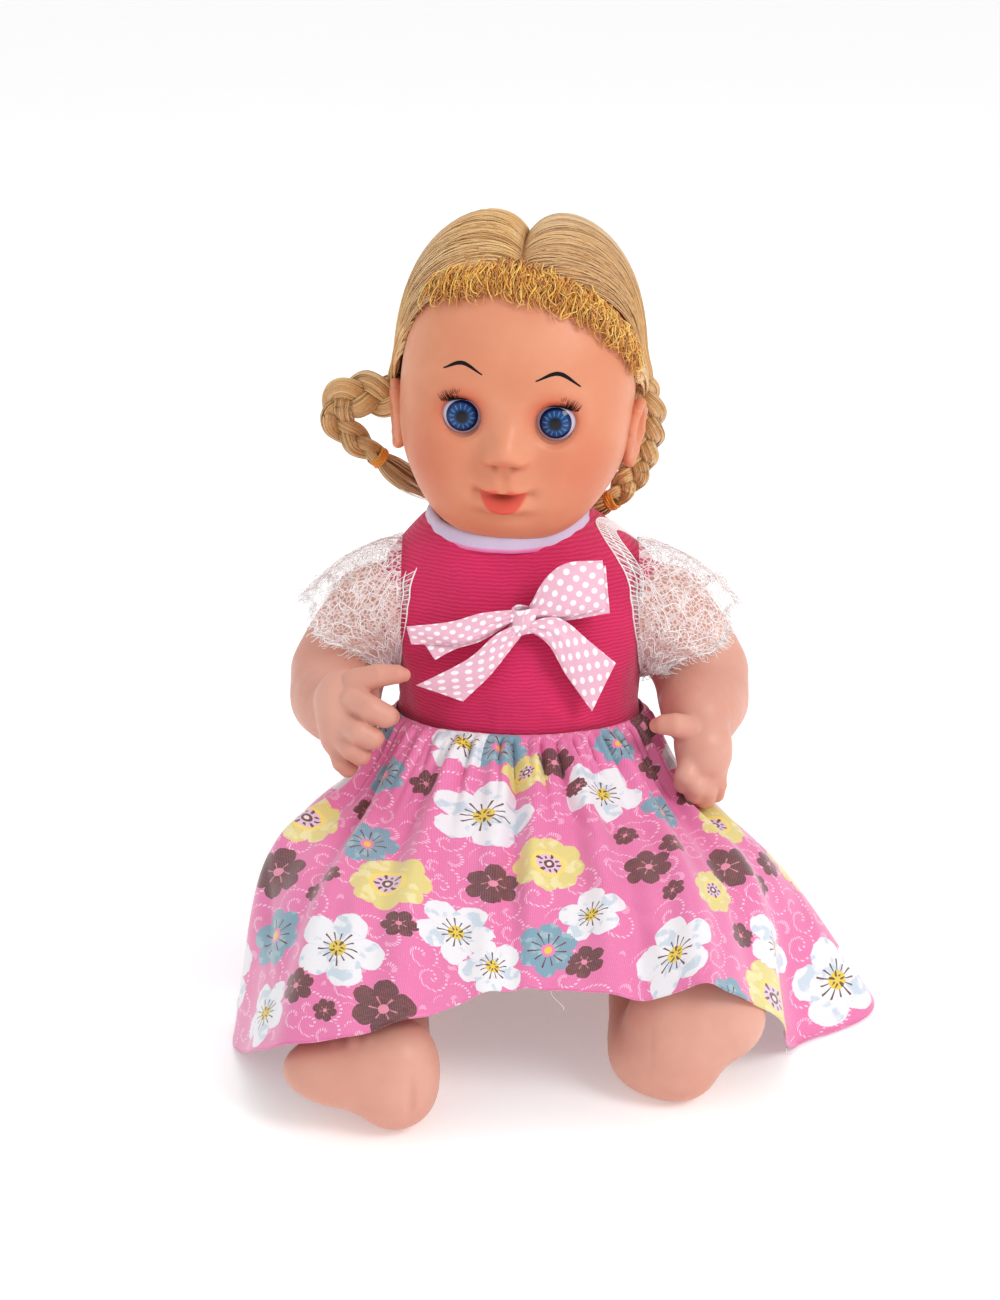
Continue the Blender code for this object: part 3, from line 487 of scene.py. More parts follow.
ELASTIC = elastic_finish()
SKIN = skin_finish("skin_vinyl", rgb(222, 150, 116), rgb(214, 138, 104), rgb(200, 88, 54))
LIMB_SKIN = skin_finish("limb_vinyl", rgb(218, 164, 146), rgb(210, 152, 134), rgb(196, 104, 80))
LASH = lash_finish()
EYE_PRINT = eye_finish()
HAIR = hair_finish("hair_nylon", rgb(238, 200, 138), rgb(218, 168, 104), rgb(182, 126, 70))
FRINGE_HAIR = hair_finish("hair_curl", rgb(255, 214, 104), rgb(238, 168, 56), rgb(186, 106, 28))


# --- head -------------------------------------------------------------------

SKULL_CENTRE = np.array([0, 6, 46.0])
SKULL_WIDTH = 38
SKULL_FRONT, SKULL_BACK = 37, 42
SKULL_TOP, SKULL_BOTTOM = 51, 42
SKULL_POWER = 2.3
EYE_OPENING = 6.2
EYE_AZIMUTH = 24.7
# Forms of the face: azimuth and elevation from the skull's centre, rise in mm, half width and half height,
# with the angles in degrees. Those with an azimuth are on both sides.
FACE_FORMS = [
    (0, -54.4, 6.6, 20.6, 20.6),  # chin
    (34, -47, 3.4, 17, 15),  # jaw
    (38.2, -25.3, 2.5, 23.0, 23.0),  # cheek
    (26.0, -30.0, 1.4, 12.0, 12.0),
    (0, -11.2, 6.6, 7.6, 7.4),  # nose
    (7.4, -14.7, 3.0, 4.4, 4.4),  # its wings
    (0, -1.5, 2.0, 7.0, 9.0),  # its bridge
    (4.6, -19.1, -1.6, 2.3, 1.6),  # nostril
    (0, -31.3, 3.4, 13.0, 9.0),  # round the mouth
    (0, -23.3, -0.7, 1.8, 3.2),
    (3.6, -24.0, 0.5, 2.0, 3.0),
    (4.6, -28.0, 1.5, 5.0, 2.0),  # upper lip
    (0, -34.6, 2.5, 8.0, 3.2),  # lower lip
    (0, -31.3, -3.4, 8.0, 1.8),  # between them
    (13.8, -30.6, -1.2, 3.2, 3.2),  # corner of the mouth
    (0, -41.0, -1.5, 10.0, 2.6),
    (EYE_AZIMUTH, 0.5, -2.9, 11.5, 10.5),  # eye socket
    (EYE_AZIMUTH, 13.0, 1.0, 12.0, 4.0),  # brow over it
    (EYE_AZIMUTH + 2, -13.0, 0.7, 11.0, 4.0),  # cheek top under it
]


def aim(azimuth, elevation):
    """Unit vector; azimuth turns from straight ahead towards the doll's left, both in degrees."""
    a, e = np.radians(azimuth), np.radians(elevation)
    return np.stack([np.sin(a) * np.cos(e), -np.cos(a) * np.cos(e), np.sin(e) + 0 * a], -1)


def form_share(way, azimuth, elevation, wide, high):
    """1 in the middle of a soft patch of the face and 0 well outside it."""
    middle = aim(azimuth, elevation)
    right = unit(np.cross(middle, (0, 0, 1)))
    up = np.cross(right, middle)
    u, v = np.degrees(way @ right), np.degrees(way @ up)
    return np.exp(-((u / wide) ** 2) - (v / high) ** 2) * (way @ middle > 0)


def skull_radius(way, face=True):
    """Distance from the skull's centre to the skin along unit vectors."""
    x, y, z = np.moveaxis(way, -1, 0)
    depth = np.where(y < 0, SKULL_FRONT, SKULL_BACK)
    height = np.where(z > 0, SKULL_TOP, SKULL_BOTTOM)
    total = sum(np.abs(v / size) ** SKULL_POWER for v, size in ((x, SKULL_WIDTH), (y, depth), (z, height)))
    radius = total ** (-1 / SKULL_POWER)
    for azimuth, elevation, rise, wide, high in FACE_FORMS if face else FACE_FORMS[:3]:
        for side in (1, -1) if azimuth else (1,):
            radius = radius + rise * form_share(way, side * azimuth, elevation, wide, high)
    return radius


def on_skull(way, lift=0.0, face=False):
    return SKULL_CENTRE + way * (skull_radius(way, face) + lift)[..., None]


def on_face(x, z, lift=0.0):
    """Points on the front of the face at a place across and up."""
    x, z = np.broadcast_arrays(np.asarray(x, float), np.asarray(z, float))
    near, far = np.zeros_like(x), np.full_like(x, -60.0)
    for _ in range(30):
        y = (near + far) / 2
        offset = np.stack([x, y, z], -1) - SKULL_CENTRE
        size = np.linalg.norm(offset, axis=-1)
        out = size > skull_radius(offset / size[..., None]) + lift
        near, far = np.where(out, near, y), np.where(out, y, far)
    return np.stack([x, (near + far) / 2, z], -1)


def lip_paint(way):
    """How much lip colour a direction has: two arches over a rounded lower lip."""
    a = np.degrees(np.arctan2(way[:, 0], -way[:, 1]))
    e = np.degrees(np.arcsin(way[:, 2]))
    u = a / 13.6
    inside = np.clip(1 - u * u, 0, 1)
    top = -30.8 + 4.0 * inside**1.3 - 1.7 * np.exp(-((a / 2.2) ** 2))
    bottom = -31.0 - 5.8 * np.clip(1 - (a / 11.4) ** 2, 0, 1)
    soft = 0.8
    share = smooth_step(top - e, -soft, soft) * smooth_step(e - bottom, -soft, soft)
    return share * smooth_step(1 - np.abs(u), 0, 0.12) * (way[:, 1] < 0)


def make_head():
    bm = bmesh.new()
    bmesh.ops.create_icosphere(bm, subdivisions=7, radius=1)
    way = np.array([v.co for v in bm.verts])
    faces = np.array([[v.index for v in f.verts] for f in bm.faces])
    bm.free()
    # Gather the mesh towards the face: grow the sphere's map seen from behind by that much
    gather = 2.2
    plane = way[:, [0, 2]] / np.maximum(1 - way[:, 1], 1e-6)[:, None] / gather
    size = (plane**2).sum(1)
    way = np.stack([2 * plane[:, 0], size - 1, 2 * plane[:, 1]], -1) / (1 + size)[:, None]
    points = on_skull(way, face=True)
    lip = lip_paint(way)
    blush_and_shade = sum(0.42 * form_share(way, s * 40, -22, 20, 17) for s in (1, -1))
    blush_and_shade += 0.22 * form_share(way, 0, -52, 20, 12) + 0.25 * form_share(way, 0, -18, 12, 5)
    shade = sum(0.5 * form_share(way, s * 4.6, -19.1, 1.8, 1.2) for s in (1, -1))
    shade = shade + 0.85 * form_share(way, 0, -31.3, 5.6, 1.3)
    shade += sum(0.35 * form_share(way, s * 13.8, -30.6, 1.6, 0.9) for s in (1, -1))
    for x, _, z in (EYES["right"], EYES["left"]):
        away = np.linalg.norm(points[:, [0, 2]] - (x, z), axis=1)
        front = points[:, 1] < -8
        above = np.clip((points[:, 2] - z) / EYE_OPENING, -1, 1)
        gap = np.maximum(away - EYE_OPENING, 0)
        # Painted shade round each eye opening, stronger above it: a wide warm band added to the blush and a
        # narrow dark ring at the rim.
        socket_shade = np.exp(-(gap / 3.4) ** 2) * (0.42 + 0.4 * above)
        blush_and_shade = blush_and_shade + socket_shade * front
        shade = shade + np.exp(-(gap / 0.7) ** 2) * (0.3 + 0.3 * above) * front
        points[:, 1] += front * 0.9 * np.exp(-(gap / 0.9) ** 2)
        rim = front & (np.abs(away - EYE_OPENING) < 0.34)
        out = unit(points[:, [0, 2]] - (x, z)) * EYE_OPENING
        points[rim, 0], points[rim, 2] = x + out[rim, 0], z + out[rim, 1]
        hole = front & (away < EYE_OPENING - 0.34)
        points[hole, 1] += 9 * smooth_step(EYE_OPENING - away[hole], 0, 0.5)
    paint = {"lip": lip, "blush_and_shade": np.clip(blush_and_shade, 0, 1), "shade": np.clip(shade, 0, 1)}
    head = make_mesh("head_skin", points, faces, SKIN, HEAD, sharp=60, **paint)
    finish_piece(head, "head", "skin_vinyl", "head_shell")


def make_ears():
    """A rim, a hollow and a lobe on each side."""
    rim = [(39.2, -2.5, 38, 1.5), (40.6, 0, 44.5, 1.5), (41.4, 5, 46.5, 1.6), (42, 9, 42.5, 1.7),
           (41.8, 9.4, 35, 1.6), (40.4, 6.4, 28, 1.6), (39.4, 2.4, 25, 1.9)]

    def field(p):
        body = ellipsoid(p, (38.5, 3.2, 35.5), (3.2, 6.6, 11))
        body = soft_min(body, chain(p, rim, 1.0), 1.6)
        body = soft_carve(body, ellipsoid(p, (42.3, 3.0, 37.5), (2.2, 4.3, 6.2)), 1.2)
        return soft_carve(body, ellipsoid(p, (42.0, -0.5, 31.0), (1.6, 1.8, 2.4)), 0.8)

    points, quads = field_mesh(field, (33, -7, 20), (46, 14, 51), 0.45)
    placed = points * (1, 1, 0.9) + (-1.4, 0, 4.6)
    for name, side in SIDES.items():
        shown = placed * (side, 1, 1)
        # Painted shade: more blush where a point 1.6 mm further out is still inside the ear, on the side
        # towards the head and in the hollows.
        deep = np.clip(0.5 - field(points + (1.6, 0, 0)) * 0.25, 0, 1) * 0.45
        zero = np.zeros(len(points))
        paint = {"blush_and_shade": deep, "lip": zero, "shade": zero}
        ear = make_mesh(f"{name}_ear", shown, facing_out(quads, side), SKIN, HEAD, **paint)
        finish_piece(ear, "head", "skin_vinyl")


def ribbon_on_face(name, guide, widths, material):
    """A thin painted line over guide places across and up, with a width at each."""
    line = curve_through([(x, z, 0, w) for (x, z), w in zip(guide, widths)], 40)
    run = unit(np.gradient(line[:, :2], axis=0))
    across = np.stack([-run[:, 1], run[:, 0]], -1)
    rows = []
    for share, lift in ((-1, 0.02), (-0.6, 0.08), (0.6, 0.08), (1, 0.02)):
        spot = line[:, :2] + across * share * line[:, 3:] / 2
        rows.append(on_face(spot[:, 0], spot[:, 1], lift))
    piece = make_mesh(name, np.concatenate(rows), grid_faces(4, len(line)), material, HEAD)
    finish_piece(piece, "head", "eyelash")


def make_brows():
    ribbon_on_face("right_brow", [(-21.4, 60.8), (-15.4, 63.4), (-8.8, 60.6)], [0.4, 1.25, 0.4], LASH)
    ribbon_on_face("left_brow", [(7.9, 59.9), (14.8, 62.4), (21.8, 58.3)], [0.4, 1.3, 0.4], LASH)


def make_eyes():
    """Each eye is a printed ball with its lid and lashes."""
    ball, lid_inside, lid_outside = 9.5, 9.8, 10.2
    lid_edge = math.radians(34)
    rows, columns = 60, 96
    for name in SIDES:
        tilt = np.linspace(0, np.pi, rows)[:, None]
        turn = np.linspace(0, 2 * np.pi, columns, endpoint=False)[None]
        bulge = ball + 0.35 * smooth_step(-tilt, -0.62, -0.3)
        way = np.stack([
            np.sin(tilt) * np.cos(turn), -np.cos(tilt) + 0 * turn, np.sin(tilt) * np.sin(turn)
        ], -1)
        points = (way * bulge[..., None]).reshape(-1, 3)
        faces = grid_faces(rows, columns, True)
        globe = make_mesh(f"{name}_eye_globe", points, faces, EYE_PRINT, EYE_FRAMES[name])
        finish_piece(globe, f"{name}_eye", "eye_iris", f"{name}_eyeball", f"{name}_iris")

        lift = np.linspace(lid_edge, np.pi, 40)[:, None]
        across = np.linspace(-1.45, 1.45, 60)[None]
        way = np.stack([
            np.sin(across) + 0 * lift, -np.cos(across) * np.cos(lift), np.cos(across) * np.sin(lift)
        ], -1)
        sheet = np.concatenate([way * lid_outside, way[::-1] * lid_inside]).reshape(-1, 3)
        zero = np.zeros(len(sheet))
        low = 0.35 * np.exp(-((np.arcsin(np.clip(sheet[:, 2] / 10, -1, 1)) - lid_edge) / 0.1) ** 2)
        paint = {"blush_and_shade": zero + 0.3, "lip": zero, "shade": low}
        lid = make_mesh(f"{name}_lid", sheet, grid_faces(80, 60), SKIN, EYE_FRAMES[name], **paint)
        finish_piece(lid, f"{name}_eye", "skin_vinyl", f"{name}_eyelid")
        make_lashes(name, lid_outside, lid_edge)


def make_lashes(name, radius, edge):
    """A dark band along the lid's edge with short lashes that fan out from it."""
    def on_edge(x, out=0.0):
        """Places on the lid's edge at a distance across."""
        ahead = np.sqrt(radius**2 - x**2)
        return np.stack([x, -ahead * math.cos(edge) - out, ahead * math.sin(edge)], -1)

    count = 30
    spread = np.linspace(-1, 1, count) + RNG.uniform(-0.015, 0.015, count)
    x = 5.7 * spread
    root = on_edge(x)
    root[:, 2] -= 1.2 * spread**2
    way = unit(np.stack([0.75 * spread, -0.9 + 0 * x, 0.4 + 0.1 * np.cos(3 * x)], -1))
    length = (3.6 + 0.3 * np.abs(spread) + RNG.uniform(-0.3, 0.3, count))[:, None]
    t = np.linspace(0, 1, 6)[None, :, None]
    paths = root[:, None] + way[:, None] * length[:, None] * t + np.array([0, 0, 2.3]) * t**2
    thin = 0.26 * (1.02 - np.linspace(0, 1, 6)) + 0.03
    lashes = tubes(f"{name}_lashes", paths, thin, LASH, EYE_FRAMES[name])
    finish_piece(lashes, f"{name}_eye", "eyelash", f"{name}_eyelash")
    across = np.linspace(-1, 1, 30)
    x = 5.9 * across
    band = on_edge(x, 0.1)
    band[:, 2] -= 1.2 * across**2
    thick = 0.42 * tapered(30, 0.3)
    line = tubes(f"{name}_lash_band", band[None], thick, LASH, EYE_FRAMES[name], sides=8)
    finish_piece(line, f"{name}_eye", "eyelash")


# --- hair -------------------------------------------------------------------

PART_FRONT, PART_BACK = 56, 212  # the parting, in degrees up from straight ahead and over the top
GATHER = {"right": unit(np.array([-42, 9, -3.0])), "left": unit(np.array([42, 13, 4.0]))}


def turn_between(a, b, share):
    """Unit vectors on the way round from a to b."""
    angle = np.arccos(np.clip((a * b).sum(-1, keepdims=True), -1, 1))
    return (a * np.sin((1 - share) * angle) + b * np.sin(share * angle)) / np.sin(angle)


def hair_flow(name, side, t, s):
    """Direction and height of the combed hair: t runs along the parting, s from it to the braid."""
    over = np.radians(PART_FRONT + (PART_BACK - PART_FRONT) * t)
    root = np.stack([side * 0.004 + 0 * over, -np.cos(over), np.sin(over)], -1)
    spread = np.radians(10) * (t - 0.4)
    goal = unit(GATHER[name] + np.stack([0 * spread, 1.1 * spread, -0.5 * spread], -1))
    way = turn_between(unit(root), goal, (s**0.96)[..., None])
    front = smooth_step(t, -0.02, 0.2)
    back = smooth_step(1 - t, -0.05, 0.2)
    crest = 1 - np.exp(-s / 0.055)
    lift = 0.8 + (1.1 + 3.6 * front * back) * crest * (1 - 0.35 * smooth_step(s, 0.3, 0.8))
    lift += 2.0 * smooth_step(s, 0.82, 1.0)
    lift += 4.6 * front * back * (1 - np.exp(-s / 0.09)) * np.exp(-(s / 0.5) ** 2)
    return way, lift


def make_combed_hair():
    """Two combed halves with a parting, each a grooved layer under loose strands."""
    rows, columns = 260, 70
    wave = RNG.normal(size=(2, 640))
    kernel = np.hanning(5) / np.hanning(5).sum()
    groove = np.array([np.convolve(w, kernel, "same") for w in wave])
    for index, (name, side) in enumerate(SIDES.items()):
        t = np.linspace(0, 1, rows)[:, None] + 0 * np.linspace(0, 1, columns)
        s = np.linspace(0.0, 1, columns) + 0 * t
        way, lift = hair_flow(name, side, t, s)
        sway = t * 520 + 7 * np.sin(3.1 * s + 2 * t)
        comb = np.interp(sway.ravel(), np.arange(640), groove[index]).reshape(t.shape)
        lift = lift - 0.5 + 0.2 * comb * smooth_step(s, 0, 0.12)
        points = on_skull(way, lift).reshape(-1, 3)
        faces = facing_out(grid_faces(rows, columns), side)
        # Painted shade: the layer's tone is darker where its grooves sink.
        marks = {"tone": np.clip(0.52 + 0.16 * comb, 0, 1).ravel(), "along": (0.3 + 0 * s).ravel()}
        layer = make_mesh(f"{name}_hair_layer", points, faces, HAIR, HEAD, **marks)
        finish_piece(layer, "head", "hair_fibre", "hair_cap")

        count, steps = 1150, 26
        t = RNG.random(count)[:, None] ** 0.9 + np.linspace(0, 1, steps) * 0
        s = np.linspace(0.0, 1, steps) ** 1.6 + 0 * t
        drift = 0.012 * np.sin(s * RNG.uniform(2, 7, (count, 1)) + RNG.uniform(0, 6, (count, 1)))
        way, lift = hair_flow(name, side, np.clip(t + drift, 0, 1), s)
        lift = lift + RNG.uniform(-0.35, 0.35, (count, 1)) + 0.15 * np.sin(9 * s + 40 * t)
        lift[:, 0] = 0.2
        radius = RNG.uniform(0.12, 0.26, (count, 1)) * (0.45 + 0.55 * tapered(steps, 0.12))
        strands = tubes(f"{name}_hair_strands", on_skull(way, lift), radius, HAIR, HEAD)
        finish_piece(strands, "head", "hair_fibre")


TEMPLE_LINES = {
    # azimuth and elevation along the hairline, in degrees
    "right": [(-56, 50), (-68, 38), (-76, 26), (-80, 18)],
    "left": [(72, 24), (77, 20), (81, 16), (84, 12)],
}


def make_temple_hair():
    """Strands rooted along the hairline in front of each ear, with skin between them."""
    for name in SIDES:
        guide = curve_through([(a, e, 0) for a, e in TEMPLE_LINES[name]], 46)
        count, steps = 46, 18
        root = aim(guide[:, 0] + RNG.uniform(-1, 1, count), guide[:, 1])[:, None]
        goal = unit(GATHER[name] + RNG.normal(0, 0.05, (count, 3)))[:, None]
        s = np.linspace(0, 1, steps)[None] + np.zeros((count, 1))
        way = turn_between(root + 0 * s[..., None], goal + 0 * s[..., None], s[..., None])
        lift = 0.1 + (3.2 + RNG.uniform(-0.5, 0.8, (count, 1))) * np.sin(s * np.pi / 2) ** 0.7
        radius = RNG.uniform(0.3, 0.5, (count, 1)) * (0.55 + 0.45 * tapered(steps, 0.2))
        strands = tubes(f"{name}_temple_hair", on_skull(way, lift), radius, HAIR, HEAD, sides=5)
        finish_piece(strands, "head", "hair_fibre")


FRINGE_LINE = [(-60, 50), (-35, 58), (-8, 61), (18, 58), (42, 49), (62, 36), (76, 24)]


def make_fringe():
    """A narrow band of frizzy curls over the forehead."""
    count, steps = 980, 30
    line = curve_through([(a, e, 0) for a, e in FRINGE_LINE], 400)
    pick = RNG.integers(0, 400, count)
    a0, e0 = line[pick, 0], line[pick, 1]
    t = np.linspace(0, 1, steps)[None]
    run = np.gradient(line[:, :2], axis=0)[pick]
    run = run / np.linalg.norm(run, axis=1, keepdims=True)
    out = np.stack([run[:, 1], -run[:, 0]], -1)
    start = RNG.uniform(2.0, 8.5, (count, 1))
    length = RNG.uniform(8, 15.5, (count, 1))
    swing = 2 * np.pi * RNG.uniform(0.7, 2.3, (count, 1)) * t + RNG.uniform(0, 6.28, (count, 1))
    hook = np.maximum(t - 0.7, 0) ** 2 * 11
    reach = RNG.uniform(0.5, 1.7, (count, 1)) * (0.3 + t)
    u = RNG.normal(0.12, 0.3, (count, 1)) * length * t + reach * np.cos(swing)
    u = u + RNG.normal(0, 2.6, (count, 1)) * hook
    v = start - length * t + reach * np.sin(swing) * 0.6 + RNG.uniform(0, 2.6, (count, 1)) * hook
    e = e0[:, None] + run[:, 1:] * u - out[:, 1:] * v
    narrow = np.maximum(np.cos(np.radians(e)), 0.3)
    a = a0[:, None] + (run[:, :1] * u - out[:, :1] * v) / narrow * 0.8
    lift = 0.9 + (1.4 + RNG.uniform(0, 2.0, (count, 1))) * np.sin(np.pi * t) ** 0.7
    lift = lift + 0.4 * np.sin(swing + 1.3)
    radius = RNG.uniform(0.14, 0.3, (count, 1)) * tapered(steps, 0.15)
    curls = tubes("fringe_curls", on_skull(aim(a, e), lift), radius, FRINGE_HAIR, HEAD)
    finish_piece(curls, "head", "hair_fibre", "fringe")
    rows, columns = 9, 120
    base = curve_through([(a, e, 0) for a, e in FRINGE_LINE], columns)
    bed_run = np.gradient(base[:, :2], axis=0)
    bed_run = bed_run / np.linalg.norm(bed_run, axis=1, keepdims=True)
    v = np.linspace(8.5, 1.0, rows)[:, None] + 1.2 * np.sin(np.arange(columns) * 0.9)
    e = base[:, 1] + bed_run[:, 0] * v
    a = base[:, 0] - bed_run[:, 1] * v / np.maximum(np.cos(np.radians(e)), 0.3) * 0.8
    lift = 0.5 * np.sin(np.linspace(0, np.pi, rows))[:, None] - 0.1 + 0 * e
    # Painted shade: the sheet under the curls keeps to the darker tones and shows between them.
    tone = RNG.random((rows, columns)) * 0.4
    marks = {"tone": tone.ravel(), "along": np.full(rows * columns, 0.5)}
    points = on_skull(aim(a, e), lift).reshape(-1, 3)
    bed = make_mesh("fringe_bed", points, grid_faces(rows, columns), FRINGE_HAIR, HEAD, **marks)
    finish_piece(bed, "head", "hair_fibre")


BRAIDS = {
    # x, y, z and half width down each braid
    "right": [
        (-34, 14, 43, 5.0), (-40, 14, 40, 6.0), (-49, 14, 39.5, 6.8), (-57, 14, 38, 6.6),
        (-60.5, 14, 32.5, 5.6), (-58, 14, 27.5, 4.8), (-53, 14, 23, 4.2), (-46, 14, 18.5, 2.8),
    ],
    "left": [
        (34, 20, 54, 4.6), (38, 21, 48, 5.6), (41.2, 21, 40, 6.0), (41.6, 21, 32, 6.0),
        (40.6, 21, 24, 5.6), (38.5, 20, 17, 4.8), (35.5, 19, 12, 3.8), (33, 18, 9, 2.8),
    ],
}
PLAITS = {"right": 1.8, "left": 2.2}
TAILS = {
    "right": [(-46, 14, 18.5), (-38, 17, 11.5), (-28, 21, 4.5)],
    "left": [(33, 18, 9), (28, 19, 6), (21, 21, 3)],
}
HAIRS_IN_STRAND = 44


def make_braid(name):
    """Three strands laid over each other along a curve, each made of many hairs."""
    steps = 110
    line = curve_through(BRAIDS[name], steps)
    centre, size = line[:, :3], line[:, 3]
    run = unit(np.gradient(centre, axis=0))
    depth = np.array([0, -1, 0.15])
    wide = unit(np.cross(run, np.broadcast_to(depth, run.shape)))
    deep = unit(np.cross(wide, run))
    t = np.linspace(0, 1, steps)
    cores, paths, radii, tones = [], [], [], []
    thick = 0.52 * size
    hairs = HAIRS_IN_STRAND
    for strand in range(3):
        phase = 2 * np.pi * (PLAITS[name] * t + strand / 3)
        middle = centre + wide * (0.62 * size * np.sin(phase))[:, None]
        middle = middle + deep * (0.5 * size * np.sin(2 * phase))[:, None]
        flow = unit(np.gradient(middle, axis=0))
        a = unit(np.cross(flow, deep))
        b = np.cross(flow, a)
        cores.append(middle)
        turn = 2 * np.pi * np.arange(hairs) / hairs + RNG.uniform(-0.05, 0.05, hairs)
        twist = turn[:, None] + 1.1 * t[None]
        off = a * np.cos(twist)[..., None] + b * (0.85 * np.sin(twist))[..., None]
        paths.append(middle + off * (thick * RNG.uniform(0.86, 1.0, (hairs, 1)))[..., None])
        radii.append(np.full((hairs, steps), 0.34) * RNG.uniform(0.7, 1.2, (hairs, 1)))
        tones.append(RNG.random(hairs))
    # Painted shade: the cores inside the strands are a dark tone that shows between the hairs.
    core = tubes(f"{name}_braid_core", cores, 0.86 * thick, HAIR, HEAD, sides=14, tone=[0.2] * 3)
    finish_piece(core, "head", "hair_fibre", f"{name}_braid")
    paths, radii, tones = map(np.concatenate, (paths, radii, tones))
    hair = tubes(f"{name}_braid_hair", paths, radii, HAIR, HEAD, tone=tones)
    finish_piece(hair, "head", "hair_fibre")


def make_hair_band(name):
    """An elastic wound a few times round the end of the braid."""
    start, ahead = np.array(TAILS[name][0], float), np.array(TAILS[name][1], float)
    run = unit(ahead - start)
    a = unit(np.cross(run, (0.1, -1, 0.2)))
    b = np.cross(run, a)
    t = np.linspace(0, 1, 160)
    turn = 2 * np.pi * 4 * t
    off = a * np.cos(turn)[:, None] + b * np.sin(turn)[:, None]
    path = start + run * (3.0 * t - 1.2)[:, None] + off * (3.1 + 0.15 * np.sin(3.3 * turn))[:, None]
    band = tubes(f"{name}_hair_elastic", path[None], 0.55, ELASTIC, HEAD, sides=8)
    finish_piece(band, "head", "hair_elastic", f"{name}_hair_band")


def make_tail(name):
    """The loose end of a braid past its elastic."""
    count, steps = 170, 16
    line = curve_through(TAILS[name], steps)
    t = np.linspace(0, 1, steps)
    run = unit(np.gradient(line, axis=0))
    a = unit(np.cross(run, (0.1, -1, 0.2)))
    b = np.cross(run, a)
    turn = RNG.uniform(0, 2 * np.pi, (count, 1))
    far = np.sqrt(RNG.random((count, 1)))
    bulk = 1.5 + 2.6 * np.sin(np.pi * np.clip(t, 0, 1) ** 0.8) + 0.6 * t
    wave = 0.5 * np.sin(5 * t + RNG.uniform(0, 6, (count, 1)))
    reach = (far * bulk + wave * t)[..., None]
    paths = line + reach * (a * np.cos(turn)[..., None] + b * np.sin(turn)[..., None])
    radius = RNG.uniform(0.16, 0.3, (count, 1)) * (1 - 0.7 * t)
    tail = tubes(f"{name}_tail_hair", paths, radius, HAIR, HEAD)
    finish_piece(tail, "head", "hair_fibre", f"{name}_braid_tail")


# --- arms and legs ----------------------------------------------------------

# Beads of the arm and the leg: x outward, y, z from the shoulder or the hip, and radius
ARM = [
    (1, 0, 3, 15.5), (9, 0, 2, 15.6), (17, -1, -8, 14.6), (22.5, -4, -17, 14.2),
    (22.5, -14, -22.5, 13.6), (21, -24, -22, 11.5), (20, -31, -20.5, 8.8),
]
LEG = [
    (4, 0, 0, 18.5), (15, 0, 0, 19.3), (19, -20, 0, 18.8), (22, -42, -1, 17), (22, -62, -3, 15.5),
    (19, -84, -7, 14), (17, -98, -10, 12.6), (15, -106, -11.5, 12),
]


def skin_mesh(name, field, low, high, step, side, at, tips=()):
    """A limb from its field, with blush at the tips: x, y, z, reach and share."""
    points, quads = field_mesh(field, low, high, step)
    blush_and_shade = np.zeros(len(points)) + 0.05
    for x, y, z, reach, share in tips:
        blush_and_shade += share * np.exp(-(((points - (x, y, z)) ** 2).sum(1)) / reach**2)
    zero = np.zeros(len(points))
    paint = {"blush_and_shade": np.clip(blush_and_shade, 0, 1), "lip": zero, "shade": zero}
    return make_mesh(name, points * (side, 1, 1), facing_out(quads, side), LIMB_SKIN, at, **paint)


HANDS = {
    # beads of the palm, then of each finger from the thumb on
    "right": (
        [(19.5, -34, -18, 8.4), (17.5, -40, -15, 8.6), (17.5, -43, -21, 8.0), (18.5, -43, -27, 6.6)],
        [
            [
                (13, -45, -7.5, 4.4), (6, -46.5, -5.0, 3.7),
                (0.5, -46.5, -4.6, 3.0), (-1.6, -46.3, -4.9, 2.2),
            ],
            [
                (14, -48, -12.0, 4.2), (8.5, -52.5, -14.0, 4.1),
                (4.0, -52.5, -16.4, 3.8), (2.6, -49.5, -17.6, 3.0),
            ],
            [
                (16, -49, -20.0, 4.0), (12, -53.5, -21.5, 4.1),
                (8.2, -53.5, -23.4, 3.7), (7.2, -50.5, -24.4, 2.9),
            ],
            [
                (17.5, -48, -26.0, 3.7), (14.8, -52.0, -27.5, 3.7),
                (12, -52.0, -29.6, 3.4), (11.4, -49.0, -30.0, 2.7),
            ],
            [
                (19.5, -46, -30.0, 3.2), (18.2, -49.0, -33.0, 3.1),
                (16.4, -48.6, -35.2, 2.9), (15.4, -46.5, -35.6, 2.3),
            ],
        ],
    ),
    "left": (
        [(20.5, -34, -23, 8.4), (21, -38, -27, 8.4), (21.5, -40, -32, 7.4), (22, -40, -35, 5.6)],
        [
            [
                (16, -40, -20, 4.3), (11.5, -42.5, -17.6, 3.8),
                (7.8, -42, -17.8, 3.2), (5.8, -41, -18.6, 2.5),
            ],
            [
                (17, -43, -30, 4.0), (15.4, -47, -33.5, 3.9),
                (14.8, -46, -36.6, 3.5), (16, -43, -38, 2.8),
            ],
            [
                (19.6, -43.5, -33, 3.9), (18.4, -47.5, -37, 3.8),
                (18.2, -46.5, -40, 3.5), (19.4, -43.5, -41, 2.8),
            ],
            [
                (22.4, -42.5, -35, 3.6), (21.8, -46.5, -39, 3.6),
                (21.6, -45.5, -42.4, 3.3), (22.6, -42.5, -43.2, 2.6),
            ],
            [
                (25.4, -40, -34, 3.2), (25.6, -43.5, -38.4, 3.1),
                (25.2, -43, -42, 2.9), (25.6, -40.6, -43, 2.3),
            ],
        ],
    ),
}


